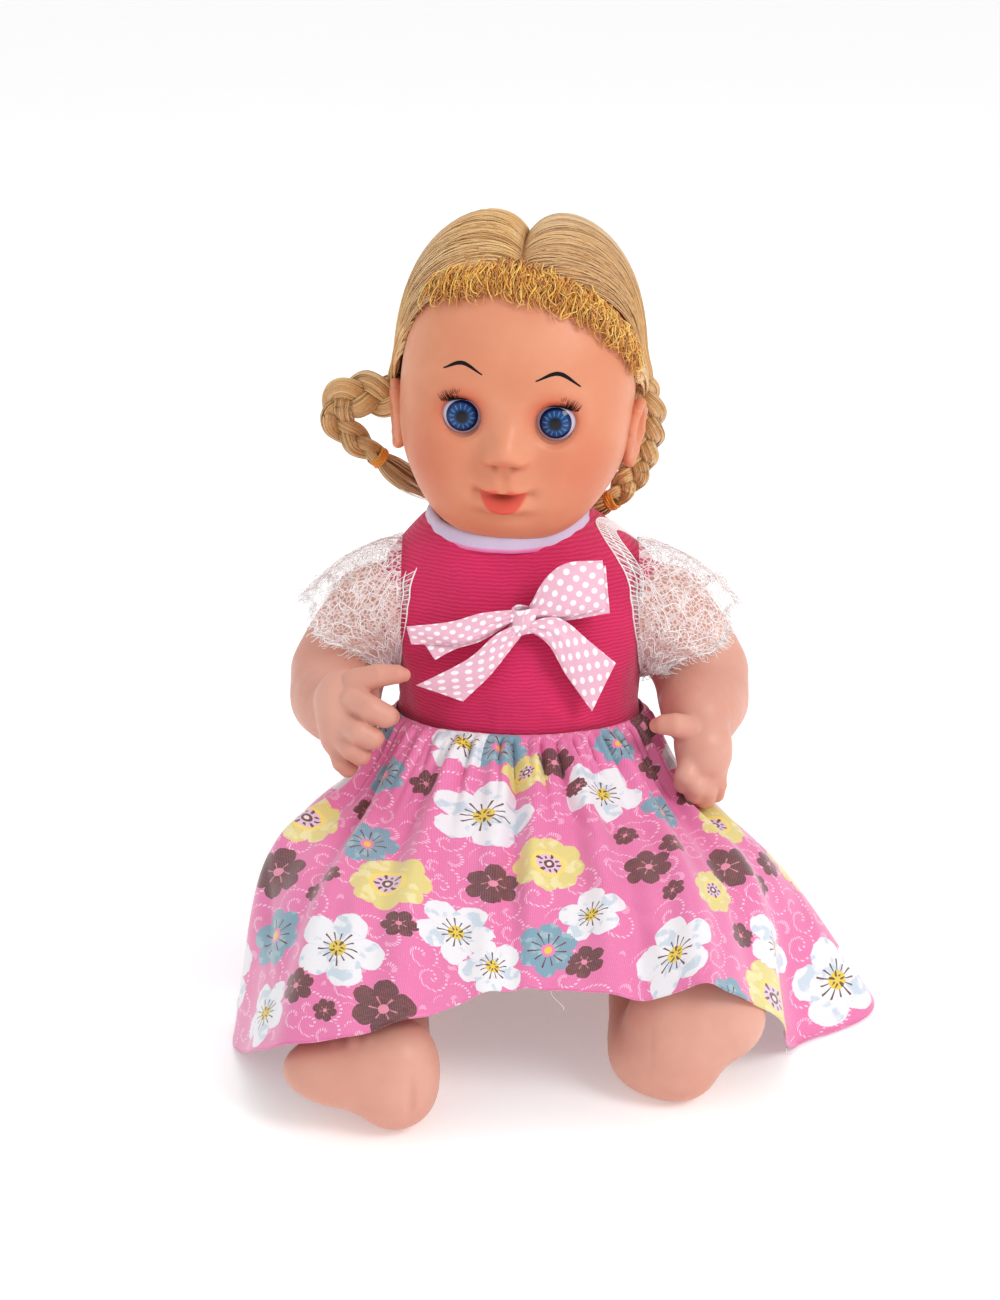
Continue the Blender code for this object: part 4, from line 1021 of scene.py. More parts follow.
def make_arms():
    for name, side in SIDES.items():
        palm, fingers = HANDS[name]

        def field(p):
            body = chain(p, ARM, 5.0)
            hand = chain(p, palm, 4.0)
            for beads in fingers:
                hand = soft_min(hand, chain(p, beads, 0.25), 1.0)
            return soft_min(body, hand, 1.2)

        tips = [(*beads[-1][:3], 5.0, 0.35) for beads in fingers] + [(20, -10, -32, 12, 0.2)]
        box = (-16, -58, -49), (40, 19, 21)
        arm = skin_mesh(f"{name}_arm_skin", field, *box, 0.62, side, ARM_FRAMES[name], tips)
        finish_piece(arm, f"{name}_arm", "skin_vinyl", f"{name}_arm")


FEET = {
    # heel and inner edge as beads from the hip, then the sole's middle and half sizes
    "right": ([(12, -127, -11, 12.6), (12, -125, -3, 12.2)], (22.5, -126, -6), (22, 12.5, 11.5)),
    "left": ([(23.6, -110, -11.4, 12.6), (24.5, -110, 0, 12.5)], (28.5, -109, 2), (20.5, 13, 16)),
}


def make_legs():
    for name, side in SIDES.items():
        heel, sole, size = FEET[name]

        def field(p):
            body = soft_min(chain(p, LEG, 6.0), chain(p, heel, 6.0), 6.0)
            body = soft_min(body, ellipsoid(p, sole, size), 5.0)
            for k in range(5):
                ahead = size[2] * (0.86 - 0.05 * (k - 1.5) ** 2)
                place = np.array(sole) + (-9 + 5.0 * k, -2.5 + 0.8 * k, ahead)
                body = soft_min(body, ellipsoid(p, place, (2.9 - 0.15 * k, 4.6, 4.2 - 0.3 * k)), 1.2)
            crease = np.array((sole[0] - size[0] * 0.72, sole[1] - size[1] * 0.97, sole[2]))
            return soft_carve(body, ellipsoid(p, crease, (0.6, 1.2, 7)), 2.2)

        tips = [(heel[0][0], heel[0][1], -20, 14, 0.25)]
        box = (-3, -141, -27), (58, 22, 30)
        leg = skin_mesh(f"{name}_leg_skin", field, *box, 0.9, side, LEG_FRAMES[name], tips)
        finish_piece(leg, f"{name}_leg", "skin_vinyl", f"{name}_leg")


# --- camera, floor and light ------------------------------------------------

CAMERA_RISE = math.radians(22)
CAMERA_DISTANCE = 765
CAMERA_TARGET = Vector((0, -48, 99))
CAMERA_AIM = (-6.2, 15.6)  # across and up from the target
CAMERA_LENS = 67.96
FLOOR_RADIUS = 12  # metres, as are the places and sizes of the lights
FLOOR_GLOW = 0.26
ROOM_LIGHT = 0.74
LIGHTS_AIM = Vector((0, -0.03, 0.1))
LIGHTS = {
    # place, size and power
    "key": ((0.85, -0.75, 1.0), 0.6, 8),
    "fill": ((-0.95, -0.75, 0.65), 1.0, 0.6),
    "top": ((-0.1, 0.35, 1.3), 0.9, 2.5),
}


def add_to_scene(name, data, place, target):
    """A camera or light at a place, turned to its target; both in metres."""
    thing = bpy.data.objects.new(name, data)
    thing.location = place
    thing.rotation_mode = "QUATERNION"
    thing.rotation_quaternion = (target - thing.location).to_track_quat("-Z", "Y")
    bpy.context.scene.collection.objects.link(thing)
    return thing


def make_stage():
    ahead = Vector((0, math.cos(CAMERA_RISE), -math.sin(CAMERA_RISE)))
    up = Vector((0, math.sin(CAMERA_RISE), math.cos(CAMERA_RISE)))
    place = CAMERA_TARGET - CAMERA_DISTANCE * ahead
    aim_at = CAMERA_TARGET + CAMERA_AIM[0] * Vector((1, 0, 0)) + CAMERA_AIM[1] * up
    data = bpy.data.cameras.new("camera")
    data.lens = CAMERA_LENS
    bpy.context.scene.camera = add_to_scene("camera", data, place * MM, aim_at * MM)

    bpy.ops.mesh.primitive_circle_add(
        vertices=128, radius=FLOOR_RADIUS, fill_type="NGON", location=(0, 0, -0.0002)
    )
    floor = bpy.context.object
    floor.name = "floor"
    f = Finish("floor_paper", roughness=0.7)
    f.set("Base Color", f.mix(f.noise(f.place(), 0.02), rgb(250, 250, 250), rgb(246, 246, 246)))
    f.set("Emission Color", (1, 1, 1, 1))
    f.set("Emission Strength", FLOOR_GLOW)
    floor.data.materials.append(f.material)

    for name, (place, size, power) in LIGHTS.items():
        data = bpy.data.lights.new(name, "AREA")
        data.shape, data.size, data.energy = "DISK", size, power
        add_to_scene(name, data, place, LIGHTS_AIM)
    world = bpy.data.worlds.new("studio")
    world.use_nodes = True
    background = world.node_tree.nodes["Background"].inputs
    background[0].default_value = (1, 1, 1, 1)
    background[1].default_value = ROOM_LIGHT
    bpy.context.scene.world = world
    bpy.context.scene.view_settings.view_transform = "Standard"


# --- cloth ------------------------------------------------------------------


def cloth(name, grid, thick, material, around=False, corner=None, **attributes):
    """A closed thin sheet over a grid of points (rows, columns, 3); thick goes inwards."""
    rows, columns = grid.shape[:2]
    down = np.gradient(grid, axis=0)
    if around:
        across = (np.roll(grid, -1, 1) - np.roll(grid, 1, 1)) / 2
    else:
        across = np.gradient(grid, axis=1)
    normal = unit(np.cross(across, down))
    inner = grid - normal * thick
    points = np.concatenate([grid.reshape(-1, 3), inner.reshape(-1, 3)])
    outer = grid_faces(rows, columns, around)[:, ::-1]
    under = grid_faces(rows, columns, around, start=rows * columns)
    total, last = rows * columns, (rows - 1) * columns
    edge = list(range(columns)) + ([0] if around else [])
    rims = []
    for a, b in zip(edge, edge[1:]):
        rims += [(a, b), (last + b, last + a)]
    if not around:
        for a in range(0, last, columns):
            b = a + columns
            rims += [(b, a), (a + columns - 1, b + columns - 1)]
    rims = np.array([(a, b, b + total, a + total) for a, b in rims])
    faces = np.concatenate([outer, under, rims])
    doubled = {key: np.concatenate([v.reshape(total, -1)] * 2).squeeze() for key, v in attributes.items()}
    piece = make_mesh(name, points, faces, material, None, **doubled)
    if corner is not None:
        for key, of_face in corner.items():
            values = of_face(faces)
            data = piece.data.attributes.new(key, "FLOAT_VECTOR", "CORNER").data
            data.foreach_set("vector", np.ascontiguousarray(values, np.float32).ravel())
    return piece


def closed_spline(points, count):
    """Values at count even steps round a ring of guide rows (rows, any shape)."""
    p = np.asarray(points, float)
    n = len(p)
    t = np.arange(count) * n / count
    i = np.floor(t).astype(int)
    f = (t - i).reshape(-1, *[1] * (p.ndim - 1))
    a, b, c, d = p[(i - 1) % n], p[i % n], p[(i + 1) % n], p[(i + 2) % n]
    return between(a, b, c, d, f)


def run_lengths(grid, axis=0):
    """Distance from the first point along an axis of a grid."""
    gaps = np.linalg.norm(np.diff(grid, axis=axis), axis=-1)
    return np.concatenate([np.zeros_like(gaps.take([0], axis)), np.cumsum(gaps, axis=axis)], axis)


COLLAR_MIDDLE = np.array((-4, 10.0))
ARMHOLE_MIDDLES = {"right": (-38, 7, 107), "left": (38, 7, 107)}
ARMHOLE = 17  # radius
BODICE_LEVELS = [
    # height, half width, half depth, middle from front to back
    (72, 40.5, 34, 1), (82, 39.5, 33.5, 1.5), (92, 40.5, 32.5, 2.5), (104, 44, 30.5, 4.5),
    (116, 46, 28, 6.5), (126, 45.5, 24.5, 8.5), (133, 42, 21.5, 9.5), (137, 36, 20, 10),
    (139, 31, 19, 10),
]
BODICE_CREASES = [
    # x, z, lean, length and depth
    (-20, 88, 0.5, 15, 0.7), (18, 84, -0.4, 14, 0.8), (-27, 108, 1.2, 12, 0.6),
    (28, 100, -1.0, 12, 0.6), (2, 96, 0.1, 18, 0.4), (-8, 79, 1.4, 8, 0.7),
]
NECKLINE = (25.6, 21.8)  # half width and half depth of the neck opening


def neckline_height(angle):
    """The neck opening is lowest in front and highest behind."""
    return 141.8 - 3.2 * np.cos(angle)


def round_neck(angle, grow, height):
    """Points round the neck opening, further out by grow."""
    return np.stack([
        COLLAR_MIDDLE[0] + (NECKLINE[0] + grow) * np.sin(angle),
        COLLAR_MIDDLE[1] - (NECKLINE[1] + grow) * np.cos(angle), height,
    ], -1)


def bodice_round(z, angle, grow=0.0):
    """Points of the bodice at a height and an angle round it from the front."""
    level = np.array(BODICE_LEVELS, float)
    wide, deep, mid = (np.interp(z, level[:, 0], level[:, k]) + (k < 3) * grow for k in (1, 2, 3))
    body = np.stack([wide * np.sin(angle), mid - deep * np.cos(angle), z + 0 * angle], -1)
    neck = round_neck(angle, grow, neckline_height(angle) + 0 * z)
    share = smooth_step(z, 122, 139)[..., None]
    return body * (1 - share) + neck * share


def make_bodice():
    """Ribbed knit with a few creases and a hole for each arm."""
    rows, columns = 150, 420
    around = np.linspace(0, 2 * np.pi, columns, endpoint=False)
    z = np.linspace(77, 139, rows)[:, None]
    grid = bodice_round(z + 0 * around, around + 0 * z)
    angle = np.arange(columns) * 2 * np.pi / columns
    lag = 0.35 * np.sin(7 * angle + 0.08 * grid[..., 2]) + 0.2 * np.sin(13 * angle + 2)
    out = unit(grid * (1, 1, 0) - (0, 4, 0))
    crease = np.zeros((rows, columns))
    for x, z, lean, length, deep in BODICE_CREASES:
        run = np.array((math.cos(lean), math.sin(lean)))
        u = (grid[..., 0] - x) * run[0] + (grid[..., 2] - z) * run[1]
        v = -(grid[..., 0] - x) * run[1] + (grid[..., 2] - z) * run[0]
        crease += deep * np.exp(-((u / length) ** 2) - (v / 2.2) ** 2) * (grid[..., 1] < 5)
    grid = grid + out * (lag * smooth_step(grid[..., 2], 136, 122) + crease)[..., None]
    for x, y, z in ARMHOLE_MIDDLES.values():
        here = grid[..., 0] * np.sign(x) > 15
        away = grid[..., 1:] - (y, z)
        far = np.linalg.norm(away, axis=-1, keepdims=True)
        pushed = (y, z) + away / far * np.maximum(far, ARMHOLE)
        inside = here & (far[..., 0] < ARMHOLE)
        grid[..., 1:] = np.where(inside[..., None], pushed, grid[..., 1:])
    bodice = cloth("bodice_knit", grid, 1.2, KNIT, around=True)
    mesh = bodice.data
    b = bmesh.new()
    b.from_mesh(mesh)
    doomed = []
    for face in b.faces:
        hits = 0
        for v in face.verts:
            x, y, z = v.co / MM
            side = ARMHOLE_MIDDLES["left"] if x > 0 else ARMHOLE_MIDDLES["right"]
            hits += abs(x) > 15 and math.hypot(y - side[1], z - side[2]) < ARMHOLE + 0.02
        if hits == len(face.verts):
            doomed.append(face)
    bmesh.ops.delete(b, geom=doomed, context="FACES")
    b.to_mesh(mesh)
    b.free()
    finish_piece(bodice, "torso", "knit_pink", "bodice")
    make_tape()


# The binding's section from its foot: distance out from the neck opening, and up
COLLAR_SECTION = [(2.0, -3.2), (1.8, -1.0), (1.2, 1.2), (0.3, 1.9), (-0.6, 1.2), (-0.8, -0.6)]


def make_collar():
    """A satin binding round the neck with a rolled top edge and a line of stitches."""
    columns, rows = 220, 12
    angle = np.arange(columns) * 2 * np.pi / columns
    section = curve_through([(out, up, 0) for out, up in COLLAR_SECTION], rows)
    wave = 0.15 * np.sin(11 * angle) + 0.1 * np.sin(23 * angle + 1)
    out = section[:, :1] + wave
    grid = round_neck(angle, out - 1, neckline_height(angle) + section[:, 1:2])
    flat = np.stack(np.broadcast_arrays(angle * 22, section[:, 1:2], 0 * angle), -1)
    collar = cloth("collar_satin", grid[::-1], 0.5, BINDING_SATIN, around=True, cloth=flat[::-1])
    finish_piece(collar, "torso", "binding_satin", "collar_binding")
    paths = []
    for k in range(72):
        a = (k + np.linspace(-0.28, 0.28, 4)) * 2 * np.pi / 72
        paths.append(round_neck(a, 0.9, neckline_height(a) - 1.9))
    stitches = tubes("collar_stitches", paths, 0.16, THREAD, sides=6)
    finish_piece(stitches, "torso", "binding_satin")


# Where the skirt runs: for each place round it, points at the waist, hip, knee and hem
SKIRT_GUIDES = [
    [(-3, -34, 81), (-3, -58, 69), (-5, -96, 54), (-6, -128, 40)],
    [(9, -33.5, 81), (12, -59, 69), (14, -97, 55), (13, -128, 41)],
    [(19, -31, 81), (27, -56, 69), (34, -97, 56), (36, -131, 39)],
    [(28, -26, 80.5), (41, -50, 64), (52, -95, 56), (55, -134, 46)],
    [(35, -19, 80), (48, -37, 61), (65, -82, 52), (72, -121, 31)],
    [(39, -11, 79), (52, -24, 60), (77, -60, 45), (87, -91, 0.9)],
    [(41, -2, 78), (55, -10, 57), (84, -38, 38), (113, -62, 0.9)],
    [(38.8, 10, 77), (50, 8, 52), (68, 0, 27), (88, -6, 0.9)],
    [(32.5, 20.5, 77), (44, 30, 50), (60, 36, 26), (72, 40, 0.9)],
    [(19, 31, 77), (25, 45, 50), (34, 54, 28), (38, 58, 0.9)],
    [(0, 35.2, 77), (0, 50, 50), (0, 59, 28), (0, 62, 0.9)],
    [(-19, 31, 77), (-25, 45, 50), (-34, 54, 28), (-38, 58, 0.9)],
    [(-32.5, 20.5, 77), (-44, 30, 50), (-58, 36, 28), (-70, 40, 0.9)],
    [(-38.8, 10, 77), (-50, 8, 54), (-69, -2, 33), (-82, -8, 0.9)],
    [(-41, -2, 78), (-53, -8, 58), (-76, -28, 42), (-89, -50, 0.9)],
    [(-39, -11, 79), (-53, -25, 60), (-77, -56, 47), (-87, -92, 0.9)],
    [(-35, -19, 80), (-48, -40, 62), (-66, -88, 50), (-75, -130, 22)],
    [(-27, -27, 80.5), (-38, -54, 64), (-49, -100, 54), (-52, -144, 33)],
    [(-15, -32, 81), (-21, -57, 68), (-26, -99, 55), (-27, -138, 38)],
]


# Small creases: angle round the skirt, share of the way down, lean and depth
SKIRT_CREASES = np.stack([
    RNG.uniform(0, 2 * np.pi, 26), RNG.uniform(0.25, 0.9, 26), RNG.uniform(0.6, 2.5, 26),
    RNG.uniform(-1.0, 1.2, 26),
], -1)


def skirt_grid(rows, columns):
    """Points of the skirt: gathers at the waist, folds below them, and the hem on the ground behind."""
    ring = closed_spline(SKIRT_GUIDES, columns)
    t = np.linspace(0, 1, rows)
    guide = np.concatenate([2 * ring[:, :1] - ring[:, 1:2], ring, 2 * ring[:, -1:] - ring[:, -2:-1]], 1)
    place = t * 3
    i = np.minimum(place.astype(int), 2)
    f = (place - i)[:, None, None]
    a, b, c, d = (np.swapaxes(guide[:, i + k], 0, 1) for k in range(4))
    grid = between(a, b, c, d, f)
    down = np.gradient(grid, axis=0)
    across = np.roll(grid, -1, 1) - np.roll(grid, 1, 1)
    normal = unit(np.cross(across, down))
    angle = 2 * np.pi * np.arange(columns) / columns
    t = t[:, None]
    gather = 1.1 * np.sin(46 * angle + 2.2 * np.sin(5 * angle)) + 0.5 * np.sin(79 * angle + 1)
    fold = np.sin(17 * angle + 1.7 * np.sin(3 * angle) + 0.6)
    fold = fold + 0.6 * np.sin(29 * angle + 2 * np.sin(2 * angle))
    soft = np.sin(9 * angle + 1.1 * np.sin(4 * angle) + 5 * t)
    lift = gather * smooth_step(t, 0, 0.05) * smooth_step(t, 0.5, 0.06)
    deep = 1.6 * smooth_step(t, 0.0, 0.2) * smooth_step(t, 1.15, 0.35) + 0.5 * smooth_step(t, 0.4, 1)
    lift = lift + fold * deep
    lift = lift + soft * 0.8 * smooth_step(t, 0.1, 0.6)
    for at, down_at, lean, deep in SKIRT_CREASES:
        u = (np.angle(np.exp(1j * (angle - at)))) * 60
        v = (t - down_at) * 95
        run = math.cos(lean), math.sin(lean)
        p, q = u * run[0] + v * run[1], -u * run[1] + v * run[0]
        lift = lift + deep * np.exp(-((p / 14) ** 2) - (q / 2.0) ** 2)
    grid = grid + normal * lift[..., None]
    grid[..., 2] = np.maximum(grid[..., 2], 0.7 + 0.3 * (lift > 0))
    return grid


WAIST_REACH = 92.0  # radius of the skirt's flat pattern at the waist
PATTERN_TURN = 0.36  # the pattern's angle for an angle round the skirt
STITCH = 2.7
LOOSE_THREADS = [
    # where each starts at the hem, its lean and its length
    (36, -116, 34, 0.5, 17), (38, -116, 34, 0.2, 12), (35, -117, 33, -0.4, 9), (47, -116, 35, 0.8, 14),
    (84, -92, 6, -0.3, 9), (-50, -112, 20, 0.3, 7), (10, -119, 37, 0.9, 8),
]


def skirt_cloth(grid):
    """Place of each point on the flat pattern, a sector of a ring measured from the waist."""
    columns = grid.shape[1]
    angle = (2 * np.pi * np.arange(columns) / columns + np.pi) % (2 * np.pi) - np.pi
    angle = PATTERN_TURN * angle
    reach = WAIST_REACH + run_lengths(grid)
    return np.stack([reach * np.sin(angle), -reach * np.cos(angle), 0 * reach], -1)


def make_skirt():
    rows, columns = 130, 620
    grid = skirt_grid(rows, columns)
    flat = skirt_cloth(grid)
    double = np.concatenate([flat.reshape(-1, 3)] * 2)

    def nearest(faces):
        middle = double[faces].mean(1)[:, None, :2]
        gap = np.linalg.norm(middle - FLOWERS[None, :, :2], axis=-1) / FLOWERS[:, 2]
        return gap.argmin(1)

    def bloom(faces):
        f = FLOWERS[nearest(faces)]
        place = (double[faces][..., :2] - f[:, None, :2]) / f[:, None, 2:3]
        turn = f[:, None, 4]
        x = place[..., 0] * np.cos(turn) + place[..., 1] * np.sin(turn)
        y = -place[..., 0] * np.sin(turn) + place[..., 1] * np.cos(turn)
        return np.stack([x, y, np.broadcast_to(f[:, None, 3], x.shape)], -1)

    skirt = cloth("skirt_satin", grid, 0.5, PRINT, around=True, corner={"bloom": bloom}, cloth=flat)
    finish_piece(skirt, "torso", "print_satin", "skirt")

    reach = run_lengths(grid)
    level = reach[-1] - 3.0
    normal = unit(np.cross(np.roll(grid, -1, 1) - np.roll(grid, 1, 1), np.gradient(grid, axis=0)))
    above = grid + normal * 0.12
    line = np.array([
        [np.interp(level[j], reach[:, j], above[:, j, k]) for k in range(3)] for j in range(columns)
    ])
    ring = np.concatenate([line, line[:1]])
    total = run_lengths(ring)
    count = int(total[-1] / STITCH)
    start = (np.arange(count) * STITCH)[:, None] + np.linspace(0, 2.0, 5)
    paths = np.stack([np.interp(start, total, ring[:, k]) for k in range(3)], -1)
    thick = 0.2 * np.array([0.6, 1, 1, 1, 0.6])
    stitches = tubes("skirt_hem_stitches", paths, thick, THREAD, sides=6)
    finish_piece(stitches, "torso", "print_satin")

    threads = []
    t = np.linspace(0, 1, 14)
    for x, y, z, lean, long in LOOSE_THREADS:
        across = x + long * (0.35 * lean * t + 0.12 * np.sin(5 * t + x))
        height = np.maximum(z - long * t * (1 - 0.2 * t), 0.5)
        threads.append(np.stack([across, y - 1.0 - 1.5 * t, height], -1))
    loose = tubes("skirt_loose_threads", threads, 0.14, THREAD, sides=6)
    finish_piece(loose, "torso", "print_satin")


# --- lace -------------------------------------------------------------------


def sleeve_place(u, v):
    """Sleeve surface: u in turns round the arm (0.25 on top), v from the shoulder to the edge."""
    a = 2 * np.pi * u
    v = v * (1 + 0.1 * np.sin(2 * a + 0.5) + 0.07 * np.sin(5 * a))
    tilt = np.radians(46) * v
    radius = 19.4 - 0.6 * v + 0.8 * v * np.sin(9 * a + 1.5 * v) + 0.45 * v * np.sin(17 * a)
    radius = radius + 1.6 * np.sin(np.pi * np.clip(v, 0, 1))
    ahead, up = radius * np.cos(a), radius * np.sin(a)
    crown = 4.5 * np.clip(np.sin(a), 0, 1) ** 2 * (1 - v)
    return np.stack([
        0.5 + 18 * v + up * np.sin(tilt), -ahead - 1.5 * v, 5 - 8 * v + crown + up * np.cos(tilt)
    ], -1)


def make_sleeves():
    """Short gathered sleeves of net with cords down and round them, and a frayed edge."""
    for name, side in SIDES.items():
        at = ARM_FRAMES[name]
        rows, columns = 60, 300
        u, v = np.meshgrid(np.linspace(0, 1, columns, endpoint=False), np.linspace(0, 1, rows))
        grid = sleeve_place(u, v) * (side, 1, 1)
        flat = np.stack([u * 120, v * 22, 0 * u], -1)
        grid, flat = facing_out(grid, -side), facing_out(flat, -side)
        net = cloth(f"{name}_lace_net", grid, 0.12, LACE_NET, around=True, cloth=flat)
        net.matrix_world = at
        finish_piece(net, f"{name}_arm", "lace", f"{name}_lace_sleeve")

        threads, radii = [], []
        steps = 40
        t = np.linspace(0, 1, steps)
        for k in range(30):
            base = (k + RNG.uniform(-0.2, 0.2)) / 30
            sway = 0.012 * np.sin(2 * np.pi * (3.2 * t + RNG.random()))
            sway = sway + 0.02 * np.sin(2 * np.pi * (0.8 * t + k / 7))
            threads.append(sleeve_place(base + sway, t) + RNG.uniform(-0.1, 0.25))
            radii.append(np.full(steps, 0.14))
        for k in range(6):
            u0 = np.linspace(0, 1, 240)
            v0 = (k + 1) / 6 + 0.03 * np.sin(2 * np.pi * (23 * u0 + k * 0.3))
            v0 = v0 + 0.02 * np.sin(2 * np.pi * 7 * u0)
            row = sleeve_place(u0, np.minimum(v0, 1.03))
            for c in range(0, 240 - steps, steps - 1):
                threads.append(row[c:c + steps])
                radii.append(np.full(steps, 0.13 + 0.1 * (k == 5)))
        threads = np.array(threads) * (side, 1, 1)
        cords = tubes(f"{name}_lace_cords", threads, np.array(radii), LACE_THREAD, at, sides=4)
        finish_piece(cords, f"{name}_arm", "lace")

        hatch, steps = [], 5
        t = np.linspace(0, 1, steps)
        for k in range(180):
            u0, v0 = RNG.random(), RNG.random() ** 0.8
            wide = RNG.uniform(0.012, 0.03)
            path = sleeve_place(u0 + wide * t, v0 + 0.02 * np.sin(3 * t))
            hatch.append(path + RNG.uniform(-0.1, 0.3))
        for k in range(460):
            u0 = RNG.random()
            start = sleeve_place(u0, 0.97)
            scallop = 0.5 + 0.5 * abs(math.sin(2 * np.pi * 8.5 * u0))
            bend = RNG.normal(0, 1.0, 3)
            run = unit(sleeve_place(u0, 1.03) - start + RNG.normal(0, 0.35, 3))
            long = RNG.uniform(1.2, 3.6) * (0.6 + 0.6 * scallop)
            hatch.append(start + run * (t * long)[:, None] + bend * (0.9 * np.sin(2.4 * t))[:, None])
        hatch = np.array(hatch) * (side, 1, 1)
        fuzz = tubes(f"{name}_lace_fibres", hatch, 0.11, LACE_THREAD, at, sides=3)
        finish_piece(fuzz, f"{name}_arm", "lace")


TAPE_LINE = [
    # depth and height round an armhole, from the shoulder down in front and up behind
    (7, 134.5), (-1, 131), (-9, 122), (-11.5, 110), (-9, 97), (0, 88.5), (10, 88.5), (19, 96),
    (23, 108), (21, 120), (14, 131),
]


def tape_line(name, count, shift, grow):
    """Points round an armhole on the bodice, shifted in from the tape's line and lifted by grow."""
    ring = closed_spline(TAPE_LINE, count)
    middle = np.array((6, 108))
    ring = middle + (ring - middle) * (1 + shift / np.linalg.norm(ring - middle, axis=1, keepdims=True))
    turn = np.linspace(0.12, np.pi - 0.12, 240)
    at_height = bodice_round(ring[:, 1:2] + 0 * turn, turn + 0 * ring[:, 1:2], grow)
    best = np.abs(at_height[..., 1] - ring[:, :1]).argmin(1)
    points = at_height[np.arange(count), best]
    kernel = np.hanning(9) / np.hanning(9).sum()
    wound = np.concatenate([points[-8:], points, points[:8]])
    smooth = np.stack([np.convolve(c, kernel, "same")[8:-8] for c in wound.T], -1)
    return smooth * (SIDES[name], 1, 1)


def make_tape():
    """A narrow woven ladder tape sewn round each armhole."""
    made = []
    for name, side in SIDES.items():
        count = 260
        edges = np.array([tape_line(name, count, -0.85 * k, 0.35) for k in range(5)])
        flat = np.arange(count) * 0.42, np.arange(5)[:, None] * 1.0, 0
        flat = np.stack(np.broadcast_arrays(*flat), -1).astype(float)
        grid = facing_out(edges, side)
        tape = cloth(f"{name}_armhole_tape", grid, 0.3, LACE_NET, around=True, cloth=flat)
        finish_piece(tape, "torso", "lace")
        threads = []
        for k in (0, 2, 4):
            ring = np.concatenate([edges[k], edges[k][:1]])
            for c in range(0, count, 20):
                threads.append(ring[c:c + 21])
        cords = tubes(f"{name}_tape_cords", np.array(threads), 0.28, LACE_THREAD, sides=5)
        finish_piece(cords, "torso", "lace")
        rungs = np.swapaxes(edges[:, ::3], 0, 1)
        ladder = tubes(f"{name}_tape_rungs", rungs, 0.2, LACE_THREAD, sides=5)
        finish_piece(ladder, "torso", "lace")
        made += [tape, cords, ladder]
    return made


# --- bow --------------------------------------------------------------------

BOW_KNOT = np.array((1, -25, 119.5))
RIBBON_WIDTH = 10.5
BOW_PIECES = [
    # name, guide points of the upper and the lower edge, the CAD nodes it stands for, and its puff
    (
        "upper_loop", [(2, 3, 1.5), (7, 12, 2), (14, 17, 1.5), (25, 17.5, 0.3)],
        [(2, -1, 1.5), (10, -0.5, 2.2), (18, 0, 1.8), (26.5, 1.5, 0.3)], ["bow_left_loop"], 2.0,
    ),
    (
        "upper_loop_back", [(3, 4, 0), (8, 11, 0), (15, 14.5, 0), (26, 15.5, -0.2)],
        [(3, -2, 0), (11, -2.4, 0), (19, -1.5, 0), (27.5, 0, -0.2)], [], -0.2,
    ),
    (
        "side_loop", [(-3, 1.5, 1.5), (-13, 0.6, 2), (-23, -2.4, 1.5), (-37, -4, 0.4)],
        [(-3, -2, 1.5), (-13, -6.5, 2), (-21, -9, 1.6), (-35.5, -9.5, 0.4)], ["bow_right_loop"], 1.4,
    ),
    (
        "side_loop_back", [(-4, 1, 0), (-13, -1, 0), (-23, -4, 0), (-34, -6, 0)],
        [(-4, -3, 0), (-13, -8.4, 0), (-21, -11, 0), (-28, -14.5, 0)], [], -0.2,
    ),
    (
        "upper_tail", [(1, -2, 2), (11, -0.5, 2.4), (21, -8, 1.6), (29.5, -15, 0.5)],
        [(1, -4.5, 2), (8, -9, 2.2), (14, -19, 1.4), (22, -30, 0.5)], ["bow_left_tail"], 0.9,
    ),
    (
        "side_tail", [(-2.5, -3, 2), (-9, -6, 2.6), (-18, -14, 1.8), (-34, -22, 0.6)],
        [(-0.5, -6, 2), (-7, -14, 2.4), (-12, -20, 1.8), (-19, -27, 0.6)], ["bow_right_tail"], 0.9,
    ),
]


def bow_place(x, z, ahead):
    """A point of the bow, across and up from its knot; the bow leans back with the chest."""
    return BOW_KNOT[0] + x, BOW_KNOT[1] + 0.28 * np.minimum(z, 4) - ahead, BOW_KNOT[2] + z


def ribbon(name, top, bottom, nodes, bulge, thick=0.35, waves=0.5):
    """A ribbon between two edges of a few guide points (x, z, forward), puffed in the middle.

    Gives the piece, its flat size in metres and its area."""
    rows, columns = 40, 90
    a = curve_through([bow_place(*guide) for guide in top], columns)
    b = curve_through([bow_place(*guide) for guide in bottom], columns)
    v = np.linspace(0, 1, rows)[:, None]
    u = np.linspace(0, 1, columns)
    grid = a[None] * (1 - v[..., None]) + b[None] * v[..., None]
    puff = bulge * np.sin(np.pi * v) * np.sin(np.pi * np.clip(u * 0.9 + 0.08, 0, 1)) ** 0.7
    pleat = waves * np.sin(5 * np.pi * v + 1.0) * np.exp(-3.2 * u) + 0.25 * np.sin(9 * u + 4 * v)
    grid[..., 1] -= puff + pleat
    along = run_lengths(np.broadcast_to((a + b) / 2, (1, columns, 3)), 1)[0]
    wide = np.linalg.norm(a - b, axis=1)
    flat = np.stack([along + 0 * v, (v - 0.5) * np.maximum(wide, 12), 0 * v + 0 * u], -1)
    piece = cloth(f"{name}_ribbon", grid[::-1], thick, RIBBON, cloth=flat[::-1])
    finish_piece(piece, "torso", "dotted_ribbon", *nodes)
    size = float(along[-1]) / 1000, max(float(wide.max()), RIBBON_WIDTH) / 1000
    return piece, size, float(along[-1] * wide.mean()) / 1e6


